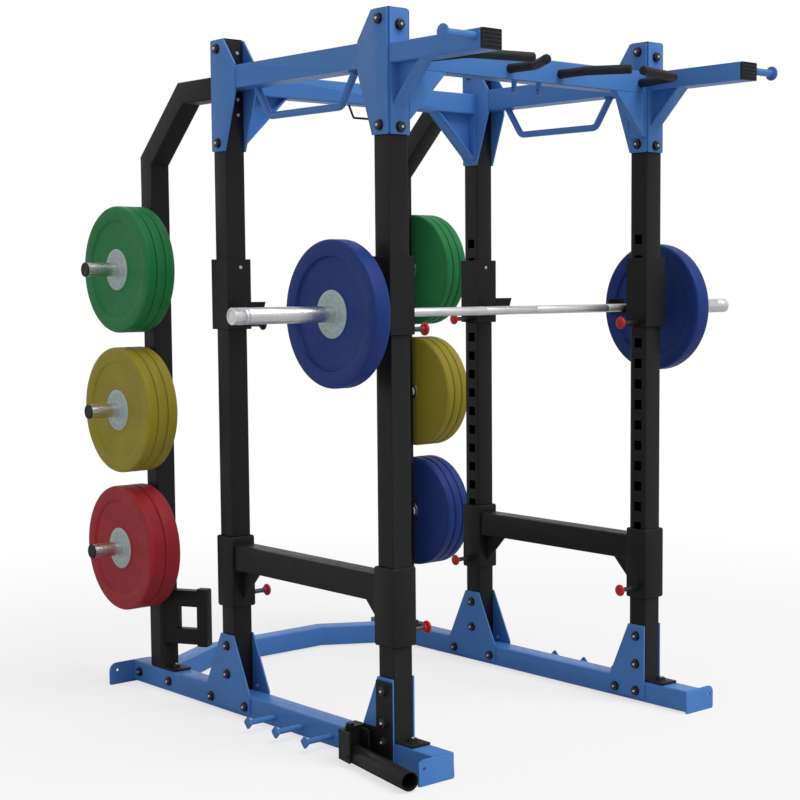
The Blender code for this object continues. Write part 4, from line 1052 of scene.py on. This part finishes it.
def first_bolt():
    washer = small_disc("washer", 28, WASHER_RADIUS, 0, WASHER, 0.0006, 1)
    head = primitive(
        "head", "cylinder", vertices=6, radius=HEAD_RADIUS, depth=HEAD - WASHER,
        location=(0, 0, WASHER + (HEAD - WASHER) / 2), rotation=(0, 0, math.pi / 6),
    )
    select_faces(head, lambda face: face.normal.z > 0.9)
    inset_steps((0.0024, HEAD_RISE), (0.0045, 0.0003))
    select_edges(head, lambda edge: abs(edge.verts[0].co.z - edge.verts[1].co.z) > 0.003)
    bpy.ops.mesh.bevel(offset=0.0008, segments=2, affect="EDGES")
    bpy.ops.object.mode_set(mode="OBJECT")
    pick(washer)
    head.select_set(True)
    bpy.ops.object.join()
    washer.name = washer.data.name = "bolt"
    return washer


bolt = first_bolt()
HEAD_TOP = HEAD + HEAD_RISE
# A bright disc that stands out of the middle of each bolt's head: a painted highlight of the dark glossy
# head
stud = small_disc("stud", 16, HIGHLIGHT_DISC_RADIUS, HEAD_TOP, HEAD_TOP + HIGHLIGHT_DISC_HEIGHT, 0.0012, 2)
print("bolt faces", len(bolt.data.polygons), "stud faces", len(stud.data.polygons))

# %% [markdown]
# The bolt places come from the plates that they go through: four on each gusset, one or
# two on each cheek at the top, two on each arm's face plate, one on each foot plate, two
# through each rail beside the storage column, and three on the landmine's plate.

# %% Every bolt
GUSSET_OUT = OUTER_X + GAP + PLATE
GUSSET_IN = INNER_X - GAP - PLATE
RAIL_BOLT_Z = 0.0435
GUSSET_BOLTS = (0.240, 0.140)
spots = []
for side, sign in SIDES:
    for row, y, low_bolts in (("front", FRONT_Y, (0.0, 0.0992)), ("rear", REAR_Y, (-0.104, 0.104))):
        for outer in (True, False):
            x, out = (sign * GUSSET_OUT, sign) if outer else (sign * GUSSET_IN, -sign)
            if not (row == "front" and side == "left" and outer):
                spots += [(x, y, z, (out, 0, 0)) for z in GUSSET_BOLTS]
                spots += [(x, y + step, RAIL_BOLT_Z, (out, 0, 0)) for step in low_bolts]
            spots.append((x, y, TOP_Z - 0.030, (out, 0, 0)))
            if outer or row == "front":
                spots.append((x, y, 1.966, (out, 0, 0)))
    face = FRONT_Y - TUBE / 2 - GAP - PLATE
    spots += [(sign * HALF_SPAN, face, z, (0, -1, 0)) for z in (2.262, 1.960)]
    spots += [(sign * HALF_SPAN, y - 0.080, 0.0893, (0, 0, 1)) for y in (FRONT_Y, STORAGE_Y)]
    spots += [(sign * OUTER_X, y, RAIL_BOLT_Z, (sign, 0, 0)) for y in (0.702, 0.904)]
mine_face = -(OUTER_X + 2 * GAP + 2 * PLATE)
spots += [(mine_face, FRONT_Y, z, (-1, 0, 0)) for z in (*GUSSET_BOLTS, 0.080)]
for number, (*place, out) in enumerate(spots, 1):
    finish(copy_at(bolt, "bolt_{:02d}".format(number), place, out), bolt_steel, "frame")
    # Each head also gets its painted highlight, a bright disc on its middle.
    finish(copy_at(stud, "stud_{:02d}".format(number), place, out), painted_highlight_finish, "frame")
for first in (bolt, stud):
    bpy.data.objects.remove(first, do_unlink=True)
print("bolts", len(spots))

# %% [markdown]
# Each front arm ends in a black plastic insert with shallow ribs across it. It is a box
# that is bisected into strips; every second strip is inset and pushed in.

# %% Arm caps
CAP_LOW, CAP_TOP = 2.1475, 2.2055
CAP_HALF = 0.0370
CAP_DEEP = 0.0118
CAP_MARGIN = 0.003
RIBS = 9


def arm_cap(side, sign):
    cap = primitive(
        "arm_cap_" + side, "cube", size=1, scale=(2 * CAP_HALF, CAP_DEEP, CAP_TOP - CAP_LOW),
        location=(sign * HALF_SPAN, ARM_TIP - GAP + CAP_DEEP / 2, (CAP_LOW + CAP_TOP) / 2),
    )
    round_rims(cap, 0.0025, 3)
    first = CAP_LOW + CAP_MARGIN
    pitch = (CAP_TOP - CAP_LOW - 2 * CAP_MARGIN) / RIBS
    for k in range(RIBS + 1):
        bpy.ops.mesh.select_all(action="SELECT")
        bpy.ops.mesh.bisect(plane_co=(0, 0, first + pitch * k), plane_no=(0, 0, 1))

    def is_valley(face):
        strip = (face.calc_center_median().z - first) / pitch
        return face.normal.y < -0.99 and 0 < strip < RIBS and int(strip) % 2 == 0

    valleys = select_faces(cap, is_valley)
    inset_steps((0.0008, -0.0022), each=True)
    finish(cap, grip_rubber, "frame")
    return valleys


for side, sign in SIDES:
    print("arm cap", side, "valleys", arm_cap(side, sign))

# %% [markdown]
# Small bright screws show on the rear uprights, between the cheeks of the top brackets, near
# the top of each rear hook's sleeve, and low on the gussets' faces beside the rear
# uprights. They are one domed disc, copied.

# %% Small screws
screw = small_disc("screw", 20, 0.0062, 0, 0.0030, 0.0014, 3)
HOOK_FACE = REAR_Y - 0.048
AHEAD = (0, -1, 0)
screws = []
for side, sign in SIDES:
    x = sign * (HALF_SPAN - 0.0135)
    screws += [(x, REAR_Y - TUBE / 2, z, AHEAD, "frame") for z in (2.2665, 2.1124, 2.0609)]
    screws.append((sign * (HALF_SPAN - 0.006), HOOK_FACE, 1.547, AHEAD, "j_hook_rear_" + side))
    for x, out in ((INNER_X - GAP, sign), (OUTER_X + GAP, -sign)):
        screws.append((sign * x, REAR_Y - 0.062, 0.096, (out, 0, 0), "frame"))
for number, (*place, out, body) in enumerate(screws, 1):
    finish(copy_at(screw, "screw_{:02d}".format(number), place, out), hub_steel, body)
bpy.data.objects.remove(screw, do_unlink=True)
print("screws", len(screws))

# %% [markdown]
# The band pegs go right through the rails. Their welded ends show as three low plugs on
# the inner wall of each rail.

# %% Ends of the band pegs
BAND_PEGS = (0.015, -0.137, -0.289)
END_RADIUS, END_THICK, END_Z = 0.0085, 0.003, 0.044
for side, sign in SIDES:
    for number, y in enumerate(BAND_PEGS, 1):
        name = "band_peg_end_{}_{}".format(side, number)
        inner = sign * (INNER_X - END_THICK)
        plug = x_cylinder(name, 24, END_RADIUS, inner, sign * INNER_X, (y, END_Z))
        round_rims(plug, 0.0012, 2, lambda edge: edge.verts[0].co.x * sign < INNER_X - 0.002)
        finish(plug, blue_coat, "frame")
print("band peg ends", 2 * len(BAND_PEGS))

# %% [markdown]
# The rack stands on a plain pale floor. The photograph's background is white, and the
# floor keeps only a faint shadow. For the camera the floor is nearly white, more than
# half of it light of its own, and it runs out into pure white a few metres away, so no
# horizon shows. For the light that bounces it is a mid grey, since the photograph's
# downward faces are dark.

# %% Floor
floor = primitive("floor", "plane", size=60, location=(0, 0, 0))
paper = Finish("pale_floor", roughness=0.8, Specular_IOR_Level=0.1)
seen = paper.add("ShaderNodeLightPath").outputs["Is Camera Ray"]
tone = paper.mix(seen, (0.55, 0.55, 0.55, 1.0), (0.93, 0.93, 0.93, 1.0))
tone = paper.mix(paper.patches(0.8, 3.0, 0.0, 0.01), tone, (1.0, 1.0, 1.0, 1.0))
reach = paper.add("ShaderNodeVectorMath", operation="LENGTH")
paper.plug(reach.inputs[0], paper.place)
FADE_START, FADE_END = 2.2, 4.2
FLAT_SHARE = 0.72
far = paper.spread(reach.outputs["Value"], FADE_START, FADE_END)
flat = paper.spread(far, 0.0, 1.0, FLAT_SHARE, 1.0)
fade = paper.sum("MULTIPLY", flat, seen)
paper.wear(Base_Color=tone)
white = paper.add("ShaderNodeEmission")
paper.plug(white.inputs["Strength"], paper.spread(far, 0.0, 1.0, 0.935, 1.0))
both = paper.add("ShaderNodeMixShader")
paper.plug(both.inputs["Fac"], fade)
paper.plug(both.inputs[1], paper.shader.outputs["BSDF"])
paper.plug(both.inputs[2], white.outputs["Emission"])
paper.plug(paper.tree.nodes["Material Output"].inputs["Surface"], both.outputs["Shader"])
floor.data.materials.append(paper.material)
print("floor faces", len(floor.data.polygons))

# %% [markdown]
# The backdrop's white comes from the world as the camera sees it. Shiny surfaces see a
# little less, and the light that falls on the rack from it is under half.

# %% World
WORLD_LIGHT = 0.45
WORLD_SHINE = 0.78
world = bpy.data.worlds.new("studio")
bpy.context.scene.world = world
world.use_nodes = True
tree = world.node_tree
sky = tree.nodes["Background"]
sky.inputs["Color"].default_value = (1.0, 1.0, 1.0, 1.0)
rays = tree.nodes.new("ShaderNodeLightPath")
strength = WORLD_LIGHT
for kind, level in (("Is Camera Ray", 1.0), ("Is Glossy Ray", WORLD_SHINE)):
    more = tree.nodes.new("ShaderNodeMath")
    more.operation = "MULTIPLY_ADD"
    tree.links.new(rays.outputs[kind], more.inputs[0])
    more.inputs[1].default_value = level - WORLD_LIGHT
    if isinstance(strength, float):
        more.inputs[2].default_value = strength
    else:
        tree.links.new(strength, more.inputs[2])
    strength = more.outputs[0]
tree.links.new(strength, sky.inputs["Strength"])
print("world nodes", len(tree.nodes))

# %% [markdown]
# One wide soft sun stands high in front, a little to the right, where the photograph's
# brighter faces look. A very weak one fills the left side. A sun lights the whole rack
# evenly, as the photograph does, where a near lamp would leave the far side dark.

# %% Suns
def soft_sun(name, towards, strength, angle):
    """A sun that stands in the direction given, as seen from the rack."""
    data = bpy.data.lights.new(name, "SUN")
    data.energy = strength
    data.angle = math.radians(angle)
    sun = bpy.data.objects.new(name, data)
    sun.location = Vector(towards) * 5
    sun.rotation_euler = (-Vector(towards)).to_track_quat("-Z", "Y").to_euler()
    bpy.context.collection.objects.link(sun)
    return sun


soft_sun("key", (0.12, -0.554, 0.824), 2.1, 40)
soft_sun("fill", (-0.94, -0.1, 0.33), 0.14, 60)

# %% [markdown]
# The camera stands where the photograph was taken from, low and to the left front. The
# place, turn and lens came from fitting the tubes' edges; a small sideways shift of the
# lens keeps the picture's crop.

# %% Camera
CAMERA_PLACE = (-3.7719, -4.4777, 1.5078)
CAMERA_YAW, CAMERA_PITCH, CAMERA_ROLL = 42.2541, 4.8647, -0.2588
FOCAL_PIXELS = 1657.13
CENTRE_OFFSET = (80.0, 18.99)
FRAME_WIDTH = 800
camera_data = bpy.data.cameras.new("camera")
camera = bpy.data.objects.new("camera", camera_data)
bpy.context.collection.objects.link(camera)
camera_data.sensor_width = 36.0
camera_data.lens = 36.0 * FOCAL_PIXELS / FRAME_WIDTH
camera_data.shift_x = -CENTRE_OFFSET[0] / FRAME_WIDTH
camera_data.shift_y = CENTRE_OFFSET[1] / FRAME_WIDTH
camera.location = CAMERA_PLACE
yaw, pitch, roll = (math.radians(a) for a in (CAMERA_YAW, CAMERA_PITCH, CAMERA_ROLL))
facing = Matrix.Rotation(-yaw, 3, "Z") @ Matrix.Rotation(math.pi / 2 - pitch, 3, "X")
camera.rotation_euler = (facing @ Matrix.Rotation(roll, 3, "Z")).to_euler()
bpy.context.scene.camera = camera
bpy.context.scene.view_settings.view_transform = "Standard"
print("lens", round(camera_data.lens, 2), "turn", [round(math.degrees(a), 3) for a in camera.rotation_euler])
